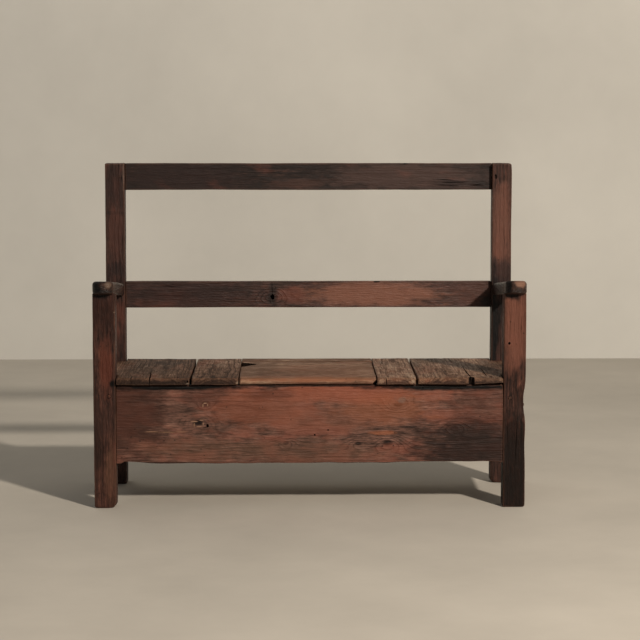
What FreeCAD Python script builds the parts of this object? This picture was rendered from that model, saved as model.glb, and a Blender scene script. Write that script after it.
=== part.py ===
import FreeCAD, Part
import os
import Sketcher
from FreeCAD import Placement, Rotation, Vector
from types import SimpleNamespace

# Settle bench: pegged frame, nailed seat, storage box below a lid that lifts at the front.
# Millimetres. X runs along the bench, the front faces -Y, Z is up from the floor.
# Depths are counted back from the front legs' front faces.

drivingSizes = {
    "benchWidth": (1400, "over the front legs"),
    "benchDepth": (460, "front legs' front faces to rear posts' back faces"),
    "benchHeight": (1105, "floor to the top of the rear posts"),
    "noseReach": (28, "arms' noses in front of the legs"),
    "seatHeight": (428, "floor to the top of the seat"),
    "armHeight": (745, "floor to the top of an arm at its nose"),
    "armDrop": (49, "fall of an arm from its nose to the rear post"),
    "armWidth": (70, ""),
    "armThickness": (42, "measured upright"),
    "armArris": (8, "rounding along an arm's top edges"),
    "noseRadius": (15, "rounding of a nose's upright corners"),
    "legWidth": (73, ""),
    "legDepth": (68, ""),
    "postWidth": (67, ""),
    "postDepth": (60, ""),
    "topRailHeight": (92, ""),
    "midRailHeight": (91, ""),
    "midRailTop": (700, "floor to the top of the middle rail"),
    "railThickness": (28, ""),
    "railSetback": (20, "rails' faces behind the posts' front faces"),
    "railTenonInset": (12, "rail's face to its tenon"),
    "apronBottom": (145, "floor to the underside of the box"),
    "apronThickness": (25, "front apron"),
    "wallThickness": (22, "side and rear aprons"),
    "apronSetback": (4, "front and rear aprons behind the faces of legs and posts"),
    "sideSetback": (10, "side aprons inside the front legs' outer faces"),
    "seatThickness": (24, ""),
    "seatOverhang": (9, "seat in front of the front legs"),
    "lidOverhang": (2, "lid in front of the front legs"),
    "seatArris": (7, "worn round of the seat's front edge"),
    "legClearance": (1, "seat boards round legs and posts"),
    "leftBoardWidth": (238, ""),
    "leftCheekWidth": (152, ""),
    "rightCheekWidth": (126.5, ""),
    "rightBoardWidth": (277.5, ""),
    "boardGap": (5, "shrinkage gap between end board and cheek"),
    "lidGap": (2, "each side of the lid"),
    "lidRest": (0.3, "lid above the front apron's top edge"),
    "stripWidth": (78, "back strip, front to back"),
    "stripGap": (4, "behind the lid's rounded rear edge"),
    "stripEndGap": (0.5, "each end of the back strip"),
    "battenWidth": (50, ""),
    "battenThickness": (22, ""),
    "battenInset": (40, "lid's side edge to its batten"),
    "battenFront": (45, "depth of the battens' front ends"),
    "battenRear": (31, "battens' rear ends in front of the hinge pins' axis"),
    "pinRadius": (4.5, ""),
    "pinReach": (35, "length of a hinge pin in lid and in cheek"),
    "pinRunning": (0.08, "radial, hinge pin in the lid"),
    "pinSeating": (0.05, "radial, hinge pin in the cheek"),
    "tenonThickness": (10, ""),
    "apronTenonLength": (35, "front apron"),
    "wallTenonLength": (30, "side and rear aprons"),
    "railTenonLength": (40, ""),
    "tenonShoulder": (20, "above and below an apron's tenon"),
    "railShoulder": (15, "above and below a rail's tenon"),
    "legTenonWidth": (30, "leg's tenon in the arm"),
    "legTenonDepth": (40, ""),
    "legTenonHeight": (27, ""),
    "armTenonWidth": (24, "arm's tenon in the post"),
    "armTenonHeight": (24, ""),
    "armTenonLength": (25, ""),
    "tenonClearance": (0.1, "cheeks of a tenon"),
    "tenonEndClearance": (1, "end of a tenon"),
    "frontPegRadius": (6, "pegs through the front legs"),
    "pegRadius": (5, "all other pegs"),
    "pegClearance": (0.1, "radial"),
    "pegLength": (45, ""),
    "pegInset": (16, "peg to the shoulder of its joint, at the rear"),
    "frontPegInset": (22, "peg to the shoulder of its joint, at the front"),
    "leftPegHeight": (367, "peg in the left front leg"),
    "rightPegHeight": (359, "peg in the right front leg"),
    "sidePegHeight": (330, ""),
    "rearPegHeight": (363, ""),
    "lostPegRecess": (6, "shrunken peg in the right rear post"),
    "bottomThickness": (16, "bottom boards"),
    "bottomGap": (2, "between bottom boards"),
    "cleatSize": (22, ""),
    "cleatRise": (5, "cleat above the lower edge of the aprons"),
    "nailRadius": (1.8, ""),
    "nailHeadRadius": (4.5, ""),
    "nailHeadHeight": (3, ""),
    "nailClearance": (0.05, "radial"),
    "seatNailLength": (60, ""),
    "lidNailLength": (38, ""),
    "bottomNailLength": (34, ""),
    "cleatNailLength": (38, ""),
    "nailInset": (38, "nail to the side edge of its board"),
}
bottomBoardCount = 6
stripNailCount = 3

doc = FreeCAD.newDocument("SettleBench")
sheet = doc.addObject("Spreadsheet::Sheet", "Sizes")


class Size:
    """A number together with the expression that gives it from the sheet."""

    def __init__(self, text, number):
        self.text = text
        self.number = number

    def __add__(self, other):
        return combined(self, "+", other, self.number + numberOf(other))

    def __radd__(self, other):
        return combined(other, "+", self, numberOf(other) + self.number)

    def __sub__(self, other):
        return combined(self, "-", other, self.number - numberOf(other))

    def __rsub__(self, other):
        return combined(other, "-", self, numberOf(other) - self.number)

    def __mul__(self, other):
        return combined(self, "*", other, self.number * numberOf(other))

    def __rmul__(self, other):
        return combined(other, "*", self, numberOf(other) * self.number)

    def __truediv__(self, other):
        return combined(self, "/", other, self.number / numberOf(other))

    def __neg__(self):
        return combined(0, "-", self, -self.number)


def numberOf(amount):
    return amount.number if isinstance(amount, Size) else float(amount)


def textOf(amount):
    return amount.text if isinstance(amount, Size) else str(float(amount))


def combined(left, sign, right, number):
    return Size(f"({textOf(left)} {sign} {textOf(right)})", number)


def bind(piece, path, amount):
    piece.setExpression(path, textOf(amount))


def fillSheet():
    """Writes the driving sizes and returns them by name."""
    sizes = {}
    for row, (name, (number, note)) in enumerate(drivingSizes.items(), start=1):
        sheet.set(f"A{row}", name)
        sheet.set(f"B{row}", str(number))
        sheet.set(f"C{row}", note)
        sheet.setAlias(f"B{row}", name)
        sizes[name] = Size(f"Sizes.{name}", float(number))
    return SimpleNamespace(**sizes)


s = fillSheet()
doc.recompute()

# Places that several pieces share
frontY = (s.noseReach - s.benchDepth) / 2
innerX = s.benchWidth / 2 - s.legWidth
postX = innerX + s.postWidth
postFront = s.benchDepth - s.postDepth
seatUnder = s.seatHeight - s.seatThickness
armSlope = s.armDrop / (postFront + s.noseReach)
armOuter = s.benchWidth / 2
armInner = armOuter - s.armWidth
armMiddle = armOuter - s.armWidth / 2
legTenonFront = (s.legDepth - s.legTenonDepth) / 2
wallOuter = s.benchWidth / 2 - s.sideSetback
wallInner = wallOuter - s.wallThickness
wallMiddle = wallOuter - s.wallThickness / 2
railFront = postFront + s.railSetback
railTenonFront = railFront + s.railTenonInset
frontApronBack = s.apronSetback + s.apronThickness
rearApronBack = s.benchDepth - s.apronSetback
rearApronFront = rearApronBack - s.wallThickness
cleatBottom = s.apronBottom + s.cleatRise
bottomBoardUnder = cleatBottom + s.cleatSize
bottomWidth = (innerX - s.legClearance) * 2
bottomBoardWidth = (bottomWidth - s.bottomGap * (bottomBoardCount - 1)) / bottomBoardCount
seatLeft = s.legClearance - innerX
leftCheekX = seatLeft + s.leftBoardWidth + s.boardGap
lidLeft = leftCheekX + s.leftCheekWidth + s.lidGap
seatRight = innerX - s.legClearance
rightBoardX = seatRight - s.rightBoardWidth
rightCheekX = rightBoardX - s.boardGap - s.rightCheekWidth
lidRight = rightCheekX - s.lidGap
lidUnder = seatUnder + s.lidRest
lidRadius = (s.seatHeight - lidUnder) / 2
hingeHeight = lidUnder + lidRadius
stripFront = s.benchDepth - s.stripWidth
hingeDepth = stripFront - s.stripGap - lidRadius
battenLength = hingeDepth - s.battenRear - s.battenFront
apronPegX = innerX + s.frontPegInset
rearPegX = innerX + s.pegInset
topRailMiddle = s.benchHeight - s.topRailHeight / 2
midRailMiddle = s.midRailTop - s.midRailHeight / 2

sides = {"left": -1, "right": 1}
upward = Rotation()
downward = Rotation(Vector(1, 0, 0), 180)
backward = Rotation(Vector(1, 0, 0), -90)
forward = Rotation(Vector(1, 0, 0), 90)
towardsRight = Rotation(Vector(0, 1, 0), 90)
towardsLeft = Rotation(Vector(0, 1, 0), -90)

subParts = []


def armTop(depth):
    return s.armHeight - (depth + s.noseReach) * armSlope


def armUnder(depth):
    return armTop(depth) - s.armThickness


def span(side, inner, outer):
    """Low and high X of something that lies between two distances from the centre."""
    return (inner, outer) if side > 0 else (-outer, -inner)


def place(piece, x, depth, height):
    bind(piece, "Placement.Base.x", x)
    bind(piece, "Placement.Base.y", frontY + depth)
    bind(piece, "Placement.Base.z", height)


def box(name, x, depth, height):
    """A block between low and high X, depth and height."""
    piece = doc.addObject("Part::Box", name)
    bind(piece, "Length", x[1] - x[0])
    bind(piece, "Width", depth[1] - depth[0])
    bind(piece, "Height", height[1] - height[0])
    place(piece, x[0], depth[0], height[0])
    return piece


def rod(name, radius, length, heading, x, depth, height):
    piece = doc.addObject("Part::Cylinder", name)
    piece.Placement = Placement(Vector(), heading)
    bind(piece, "Radius", radius)
    bind(piece, "Height", length)
    place(piece, x, depth, height)
    return piece


def group(name, members):
    piece = doc.addObject("Part::Compound", name)
    piece.Links = members
    return piece


def joined(name, members):
    piece = doc.addObject("Part::MultiFuse", name)
    piece.Shapes = members
    return piece


def without(name, base, tools):
    piece = doc.addObject("Part::Cut", name)
    piece.Base = base
    piece.Tool = tools[0] if len(tools) == 1 else group(name + "_cutters", tools)
    return piece


def keep(label, piece):
    piece.Label = label
    subParts.append(piece)
    return piece


def originPlane(body, role):
    return next(plane for plane in body.Origin.OriginFeatures if plane.Role == role)


def outline(body, name, role, corners, rounded=None):
    """A closed sketch of straight lines; a line named in rounded is a half circle instead."""
    sketch = body.newObject("Sketcher::SketchObject", name)
    sketch.AttachmentSupport = [(originPlane(body, role), "")]
    sketch.MapMode = "FlatFace"
    points = [Vector(numberOf(u), numberOf(v), 0) for u, v in corners]
    count = len(points)
    for index in range(count):
        start = points[index]
        end = points[(index + 1) % count]
        if index == rounded:
            middle = (start + end) / 2
            bulge = Vector(0, 0, 1).cross(start - end) / 2
            sketch.addGeometry(Part.Arc(start, middle + bulge, end), False)
        else:
            sketch.addGeometry(Part.LineSegment(start, end), False)
    for index in range(count):
        after = (index + 1) % count
        sketch.addConstraint(Sketcher.Constraint("Coincident", index, 2, after, 1))
    for index, (u, v) in enumerate(corners):
        for kind, amount in (("DistanceX", u), ("DistanceY", v)):
            drive(sketch, Sketcher.Constraint(kind, -1, 1, index, 1, numberOf(amount)), amount)
    if rounded is not None:
        centre = corners[rounded][0]
        drive(sketch, Sketcher.Constraint("DistanceX", -1, 1, rounded, 3, numberOf(centre)), centre)
    return sketch


def drive(sketch, constraint, amount):
    number = sketch.addConstraint(constraint)
    bind(sketch, f"Constraints[{number}]", amount)


def padded(body, sketch, length, offset=None):
    """A pad of a sketch, which may start at an offset along its plane's normal."""
    if offset is not None:
        bind(sketch, "AttachmentOffset.Base.z", offset)
    pad = body.newObject("PartDesign::Pad", sketch.Name + "_pad")
    pad.Profile = sketch
    bind(pad, "Length", length)
    return pad


def roundOver(body, feature, name, radius, chosen):
    """Rounds the feature's edges for which chosen(middle, edge) is true."""
    doc.recompute()
    edges = enumerate(feature.Shape.Edges, start=1)
    fillet = body.newObject("PartDesign::Fillet", name)
    fillet.Base = (feature, [f"Edge{n}" for n, edge in edges if chosen(edge.CenterOfMass, edge)])
    bind(fillet, "Radius", radius)
    return fillet


def near(value, amount):
    return abs(value - numberOf(amount)) < 0.01


def mortise(name, x, depth, height, open_side):
    """A tenon's block grown by its clearances; open_side is the face the tenon enters by."""
    grown = []
    for axis, (low, high) in enumerate((x, depth, height)):
        if open_side == (axis, -1):
            grown.append((low, high + s.tenonEndClearance))
        elif open_side == (axis, 1):
            grown.append((low - s.tenonEndClearance, high))
        else:
            grown.append((low - s.tenonClearance, high + s.tenonClearance))
    return box(name, *grown)


# Tenons, each as X, depth and height of its block
def frontApronTenon(side):
    depth = s.apronSetback + (s.apronThickness - s.tenonThickness) / 2
    x = span(side, innerX, innerX + s.apronTenonLength)
    height = (s.apronBottom + s.tenonShoulder, seatUnder - s.tenonShoulder)
    return x, (depth, depth + s.tenonThickness), height


def rearApronTenon(side):
    depth = rearApronFront + (s.wallThickness - s.tenonThickness) / 2
    x = span(side, innerX, innerX + s.wallTenonLength)
    height = (s.apronBottom + s.tenonShoulder, seatUnder - s.tenonShoulder)
    return x, (depth, depth + s.tenonThickness), height


def sideApronTenon(side, end):
    x = span(side, wallMiddle - s.tenonThickness / 2, wallMiddle + s.tenonThickness / 2)
    depth = {
        "front": (s.legDepth - s.wallTenonLength, s.legDepth),
        "rear": (postFront, postFront + s.wallTenonLength),
    }[end]
    height = (s.apronBottom + s.tenonShoulder, seatUnder - s.tenonShoulder)
    return x, depth, height


def railTenon(side, top, railHeight):
    x = span(side, innerX, innerX + s.railTenonLength)
    depth = (railTenonFront, railTenonFront + s.tenonThickness)
    return x, depth, (top - railHeight + s.railShoulder, top - s.railShoulder)


def legTenon(side):
    x = span(side, armMiddle - s.legTenonWidth / 2, armMiddle + s.legTenonWidth / 2)
    under = armUnder(legTenonFront + s.legTenonDepth)
    return x, (legTenonFront, legTenonFront + s.legTenonDepth), (under, under + s.legTenonHeight)


def armTenon(side):
    x = span(side, armMiddle - s.armTenonWidth / 2, armMiddle + s.armTenonWidth / 2)
    under = armUnder(postFront) + (s.armThickness - s.armTenonHeight) / 2
    return x, (postFront, postFront + s.armTenonLength), (under, under + s.armTenonHeight)


# Pegs, each as heading, X, depth and height of its outer end, with its radius and length
def frontApronPeg(side):
    height = s.rightPegHeight if side > 0 else s.leftPegHeight
    return backward, apronPegX * side, 0, height, s.frontPegRadius, s.pegLength


def rearApronPeg(side):
    return forward, rearPegX * side, s.benchDepth, s.rearPegHeight, s.pegRadius, s.pegLength


def sideApronPeg(side, end):
    heading = towardsLeft if side > 0 else towardsRight
    if end == "front":
        x = s.benchWidth / 2
        depth = s.legDepth - s.pegInset
    else:
        x = postX
        depth = postFront + s.pegInset
    return heading, x * side, depth, s.sidePegHeight, s.pegRadius, s.pegLength


def topRailPeg(side):
    return backward, rearPegX * side, postFront, topRailMiddle, s.pegRadius, s.pegLength


def midRailPeg(side):
    return forward, rearPegX * side, s.benchDepth, midRailMiddle, s.pegRadius, s.pegLength


def armPeg(side, end):
    heading = towardsLeft if side > 0 else towardsRight
    if end == "front":
        depth = s.legDepth / 2
        height = legTenon(side)[2][0] + s.legTenonHeight / 2
        return heading, armOuter * side, depth, height, s.pegRadius, s.pegLength
    depth = postFront + s.armTenonLength / 2
    height = armTenon(side)[2][0] + s.armTenonHeight / 2
    return heading, postX * side, depth, height, s.pegRadius, s.pegLength


def peg(name, described, recess=0):
    heading, x, depth, height, radius, length = described
    piece = rod(name, radius, length - recess, heading, x, depth, height)
    if recess:
        bind(piece, "Placement.Base.y", frontY + depth + recess)
    return piece


def pegHole(name, described):
    heading, x, depth, height, radius, length = described
    return rod(name, radius + s.pegClearance, length, heading, x, depth, height)


def nail(name, heading, length, x, depth, height, grow=0):
    """A nail whose head's flat top lies at the given place; grow widens it into its hole."""
    shank = rod(name + "_shank", s.nailRadius + grow, length, heading, x, depth, height)
    head = doc.addObject("Part::Cone", name + "_head")
    head.Placement = Placement(Vector(), heading)
    bind(head, "Radius1", s.nailHeadRadius + grow)
    bind(head, "Radius2", s.nailRadius + grow)
    bind(head, "Height", s.nailHeadHeight)
    place(head, x, depth, height)
    return joined(name, [shank, head])


def nailSet(name, heading, length, places):
    """Nails at the places and their holes, as two lists."""
    nails = []
    holes = []
    for number, (x, depth, height) in enumerate(places, start=1):
        nails.append(nail(f"{name}_{number}", heading, length, x, depth, height))
        holes.append(nail(f"{name}_hole_{number}", heading, length, x, depth, height, s.nailClearance))
    return nails, holes


def armOf(name, side):
    body = doc.addObject("PartDesign::Body", f"arm_{name}_blank")
    low = span(side, armInner, armOuter)[0]
    nose = -s.noseReach
    profile = outline(body, f"arm_{name}_profile", "YZ_Plane", [
        (frontY + nose, armUnder(nose)),
        (frontY + postFront, armUnder(postFront)),
        (frontY + postFront, armTop(postFront)),
        (frontY + nose, armTop(nose)),
    ])
    bar = padded(body, profile, s.armWidth, low)
    corners = roundOver(
        body, bar, f"arm_{name}_nose", s.noseRadius,
        lambda middle, edge: near(middle.y, frontY + nose)
        and near(edge.BoundBox.ZLength, s.armThickness))
    roundOver(
        body, corners, f"arm_{name}_arris", s.armArris,
        lambda middle, edge: near(edge.BoundBox.ZMax, armTop(edge.BoundBox.YMin - frontY))
        and edge.BoundBox.XLength < numberOf(s.armWidth) / 2)
    (xLow, xHigh), (front, back), (under, over) = armTenon(side)
    tenon = outline(body, f"arm_{name}_tenon", "YZ_Plane", [
        (frontY + front - s.tenonShoulder, under), (frontY + back, under),
        (frontY + back, over), (frontY + front - s.tenonShoulder, over),
    ])
    padded(body, tenon, xHigh - xLow, xLow)
    cutters = [
        mortise(f"arm_{name}_mortise", *legTenon(side), (2, -1)),
        pegHole(f"arm_{name}_front_peg_hole", armPeg(side, "front")),
        pegHole(f"arm_{name}_rear_peg_hole", armPeg(side, "rear")),
    ]
    return without(f"arm_{name}", body, cutters)


def frontLegOf(name, side):
    body = doc.addObject("PartDesign::Body", f"front_leg_{name}_blank")
    low = span(side, innerX, s.benchWidth / 2)[0]
    profile = outline(body, f"front_leg_{name}_profile", "YZ_Plane", [
        (frontY + 0, 0), (frontY + s.legDepth, 0),
        (frontY + s.legDepth, armUnder(s.legDepth)), (frontY + 0, armUnder(0)),
    ])
    padded(body, profile, s.legWidth, low)
    (xLow, xHigh), (front, back), (under, over) = legTenon(side)
    tenon = outline(body, f"front_leg_{name}_tenon", "YZ_Plane", [
        (frontY + front, under - s.tenonShoulder), (frontY + back, under - s.tenonShoulder),
        (frontY + back, over), (frontY + front, over),
    ])
    padded(body, tenon, xHigh - xLow, xLow)
    cutters = [
        mortise(f"front_leg_{name}_apron_mortise", *frontApronTenon(side), (0, -side)),
        mortise(f"front_leg_{name}_side_mortise", *sideApronTenon(side, "front"), (1, 1)),
        pegHole(f"front_leg_{name}_apron_peg_hole", frontApronPeg(side)),
        pegHole(f"front_leg_{name}_side_peg_hole", sideApronPeg(side, "front")),
        pegHole(f"front_leg_{name}_arm_peg_hole", armPeg(side, "front")),
    ]
    return without(f"front_leg_{name}", body, cutters)


def rearPostOf(name, side):
    blank = box(f"rear_post_{name}_blank", span(side, innerX, postX),
                (postFront, s.benchDepth), (0, s.benchHeight))
    inward = (0, -side)
    topTenon = railTenon(side, s.benchHeight, s.topRailHeight)
    midTenon = railTenon(side, s.midRailTop, s.midRailHeight)
    cutters = [
        mortise(f"rear_post_{name}_top_rail_mortise", *topTenon, inward),
        mortise(f"rear_post_{name}_mid_rail_mortise", *midTenon, inward),
        mortise(f"rear_post_{name}_apron_mortise", *rearApronTenon(side), inward),
        mortise(f"rear_post_{name}_side_mortise", *sideApronTenon(side, "rear"), (1, -1)),
        mortise(f"rear_post_{name}_arm_mortise", *armTenon(side), (1, -1)),
        pegHole(f"rear_post_{name}_top_rail_peg_hole", topRailPeg(side)),
        pegHole(f"rear_post_{name}_mid_rail_peg_hole", midRailPeg(side)),
        pegHole(f"rear_post_{name}_apron_peg_hole", rearApronPeg(side)),
        pegHole(f"rear_post_{name}_side_peg_hole", sideApronPeg(side, "rear")),
        pegHole(f"rear_post_{name}_arm_peg_hole", armPeg(side, "rear")),
    ]
    return without(f"rear_post_{name}", blank, cutters)


def railOf(name, top, railHeight, pegAt):
    depth = (railFront, railFront + s.railThickness)
    board = box(f"{name}_board", (-innerX, innerX), depth, (top - railHeight, top))
    tenons = [box(f"{name}_tenon_{end}", *railTenon(side, top, railHeight))
              for end, side in sides.items()]
    holes = [pegHole(f"{name}_peg_hole_{end}", pegAt(side)) for end, side in sides.items()]
    return without(name, joined(f"{name}_blank", [board] + tenons), holes)


def frontApron(nailHoles):
    board = box("front_apron_board", (-innerX, innerX),
                (s.apronSetback, frontApronBack), (s.apronBottom, seatUnder))
    tenons = [box(f"front_apron_tenon_{end}", *frontApronTenon(side))
              for end, side in sides.items()]
    holes = [pegHole(f"front_apron_peg_hole_{end}", frontApronPeg(side))
             for end, side in sides.items()]
    return without("front_apron", joined("front_apron_blank", [board] + tenons), holes + nailHoles)


def rearApron(nailHoles):
    board = box("rear_apron_board", (-innerX, innerX),
                (rearApronFront, rearApronBack), (s.apronBottom, seatUnder))
    tenons = [box(f"rear_apron_tenon_{end}", *rearApronTenon(side))
              for end, side in sides.items()]
    holes = [pegHole(f"rear_apron_peg_hole_{end}", rearApronPeg(side))
             for end, side in sides.items()]
    return without("rear_apron", joined("rear_apron_blank", [board] + tenons), holes + nailHoles)


def sideApronOf(name, side, nailHoles):
    board = box(f"side_apron_{name}_board", span(side, wallInner, wallOuter),
                (s.legDepth, postFront), (s.apronBottom, seatUnder))
    ends = ("front", "rear")
    tenons = [box(f"side_apron_{name}_tenon_{end}", *sideApronTenon(side, end)) for end in ends]
    holes = [pegHole(f"side_apron_{name}_peg_hole_{end}", sideApronPeg(side, end)) for end in ends]
    blank = joined(f"side_apron_{name}_blank", [board] + tenons)
    return without(f"side_apron_{name}", blank, holes + nailHoles)


def seatPlank(name, corners):
    """A seat board of the given plan, its front upper edge worn round."""
    body = doc.addObject("PartDesign::Body", f"{name}_blank")
    plan = outline(body, f"{name}_plan", "XY_Plane", [(x, frontY + d) for x, d in corners])
    plank = padded(body, plan, s.seatThickness, seatUnder)
    roundOver(
        body, plank, f"{name}_arris", s.seatArris,
        lambda middle, edge: near(middle.z, s.seatHeight) and near(middle.y, frontY - s.seatOverhang))
    return body


def seatBoardOf(name, side, xLow, xHigh, nailHoles):
    inner = xHigh if side < 0 else xLow
    leg = xLow if side < 0 else xHigh
    outer = s.benchWidth / 2 * side
    behindLeg = s.legDepth + s.legClearance
    beforePost = postFront - s.legClearance
    corners = [
        (leg, -s.seatOverhang), (inner, -s.seatOverhang),
        (inner, s.benchDepth), (leg, s.benchDepth),
        (leg, beforePost), (outer, beforePost),
        (outer, behindLeg), (leg, behindLeg),
    ]
    return without(f"seat_board_{name}", seatPlank(f"seat_board_{name}", corners), nailHoles)


def seatCheekOf(name, xLow, xHigh, pinEntry, heading, nailHoles):
    corners = [(xLow, -s.seatOverhang), (xHigh, -s.seatOverhang),
               (xHigh, s.benchDepth), (xLow, s.benchDepth)]
    hole = rod(f"seat_cheek_{name}_pin_hole", s.pinRadius + s.pinSeating, s.pinReach,
               heading, pinEntry, hingeDepth, hingeHeight)
    return without(f"seat_cheek_{name}", seatPlank(f"seat_cheek_{name}", corners),
                   [hole] + nailHoles)


def seatBackStrip(nailHoles):
    strip = box("seat_back_strip_blank",
                (lidLeft - s.lidGap + s.stripEndGap, lidRight + s.lidGap - s.stripEndGap),
                (stripFront, s.benchDepth), (seatUnder, s.seatHeight))
    return without("seat_back_strip", strip, nailHoles)


def seatLid(nailHoles):
    """The lid, its rear edge a half round about the hinge axis."""
    body = doc.addObject("PartDesign::Body", "seat_lid_blank")
    front = frontY - s.lidOverhang
    hinge = frontY + hingeDepth
    profile = outline(body, "seat_lid_profile", "YZ_Plane", [
        (front, lidUnder), (hinge, lidUnder), (hinge, s.seatHeight), (front, s.seatHeight),
    ], rounded=1)
    board = padded(body, profile, lidRight - lidLeft, lidLeft)
    roundOver(
        body, board, "seat_lid_arris", s.seatArris,
        lambda middle, edge: near(middle.z, s.seatHeight) and near(middle.y, front))
    depth = s.pinReach + s.tenonEndClearance
    radius = s.pinRadius + s.pinRunning
    holes = [
        rod("seat_lid_pin_hole_left", radius, depth, towardsRight,
            lidLeft, hingeDepth, hingeHeight),
        rod("seat_lid_pin_hole_right", radius, depth, towardsLeft,
            lidRight, hingeDepth, hingeHeight),
    ]
    return without("seat_lid", body, holes + nailHoles)


def hingePins():
    """Iron pins, driven into the cheeks and running in the lid."""
    length = s.pinReach * 2 + s.lidGap
    starts = {
        "left": (towardsRight, lidLeft - s.lidGap - s.pinReach),
        "right": (towardsLeft, lidRight + s.lidGap + s.pinReach),
    }
    for name, (heading, x) in starts.items():
        pin = rod(f"lid_hinge_pin_{name}_rod", s.pinRadius, length, heading,
                  x, hingeDepth, hingeHeight)
        keep(f"lid_hinge_pin_{name}", pin)


def battenLow(name):
    if name == "left":
        return lidLeft + s.battenInset
    return lidRight - s.battenInset - s.battenWidth


def lidBattens(nailHoles):
    depth = (s.battenFront, s.battenFront + battenLength)
    height = (lidUnder - s.battenThickness, lidUnder)
    for name in sides:
        low = battenLow(name)
        bar = box(f"lid_batten_{name}_bar", (low, low + s.battenWidth), depth, height)
        keep(f"lid_batten_{name}", without(f"lid_batten_{name}_drilled", bar, nailHoles[name]))


def bottomBoardSpan(number):
    """Low and high X of a bottom board between the legs, counted from the left."""
    low = s.legClearance - innerX + (bottomBoardWidth + s.bottomGap) * (number - 1)
    return low, low + bottomBoardWidth


def bottomBoards(nailHoles):
    """Boards that run front to back on the cleats; the end ones reach the side aprons."""
    depth = (frontApronBack + s.legClearance, rearApronFront - s.legClearance)
    height = (bottomBoardUnder, bottomBoardUnder + s.bottomThickness)
    for number in range(1, bottomBoardCount + 1):
        low, high = bottomBoardSpan(number)
        x = (low, high)
        cutters = list(nailHoles[number])
        if number in (1, bottomBoardCount):
            side = -1 if number == 1 else 1
            reach = wallInner - s.legClearance
            x = (-reach, high) if side < 0 else (low, reach)
            notch = span(side, innerX - s.legClearance, s.benchWidth / 2)
            cutters += [
                box(f"bottom_board_{number}_leg_notch", notch, (0, s.legDepth + s.legClearance), height),
                box(f"bottom_board_{number}_post_notch", notch,
                    (postFront - s.legClearance, s.benchDepth), height),
            ]
        board = box(f"bottom_board_{number}_blank", x, depth, height)
        keep(f"bottom_board_{number}", without(f"bottom_board_{number}_cut", board, cutters))


def bottomNailPlaces(number):
    low, high = bottomBoardSpan(number)
    top = bottomBoardUnder + s.bottomThickness
    front = frontApronBack + s.cleatSize / 2
    rear = rearApronFront - s.cleatSize / 2
    return [(x, depth, top) for depth in (front, rear)
            for x in (low + s.nailInset, high - s.nailInset)]


def cleatOf(name, depthLow, nailHoles):
    bar = box(f"bottom_cleat_{name}_bar", (s.legClearance - innerX, innerX - s.legClearance),
              (depthLow, depthLow + s.cleatSize), (cleatBottom, bottomBoardUnder))
    keep(f"bottom_cleat_{name}", without(f"bottom_cleat_{name}_drilled", bar, nailHoles))


def plankNailPlaces(xLow, xHigh):
    """Four nails, near the corners of a seat board that bears on front and rear aprons."""
    front = s.apronSetback + s.apronThickness / 2
    rear = rearApronBack - s.wallThickness / 2
    return [(x, depth, s.seatHeight) for depth in (front, rear)
            for x in (xLow + s.nailInset, xHigh - s.nailInset)]


def sideNailPlaces(side):
    run = postFront - s.legDepth
    return [(wallMiddle * side, s.legDepth + run * share, s.seatHeight) for share in (0.25, 0.75)]


def spread(low, high, count):
    """Evenly spaced places between two X values, half a step from each."""
    step = (high - low) / count
    return [low + step * (index + 0.5) for index in range(count)]


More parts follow.
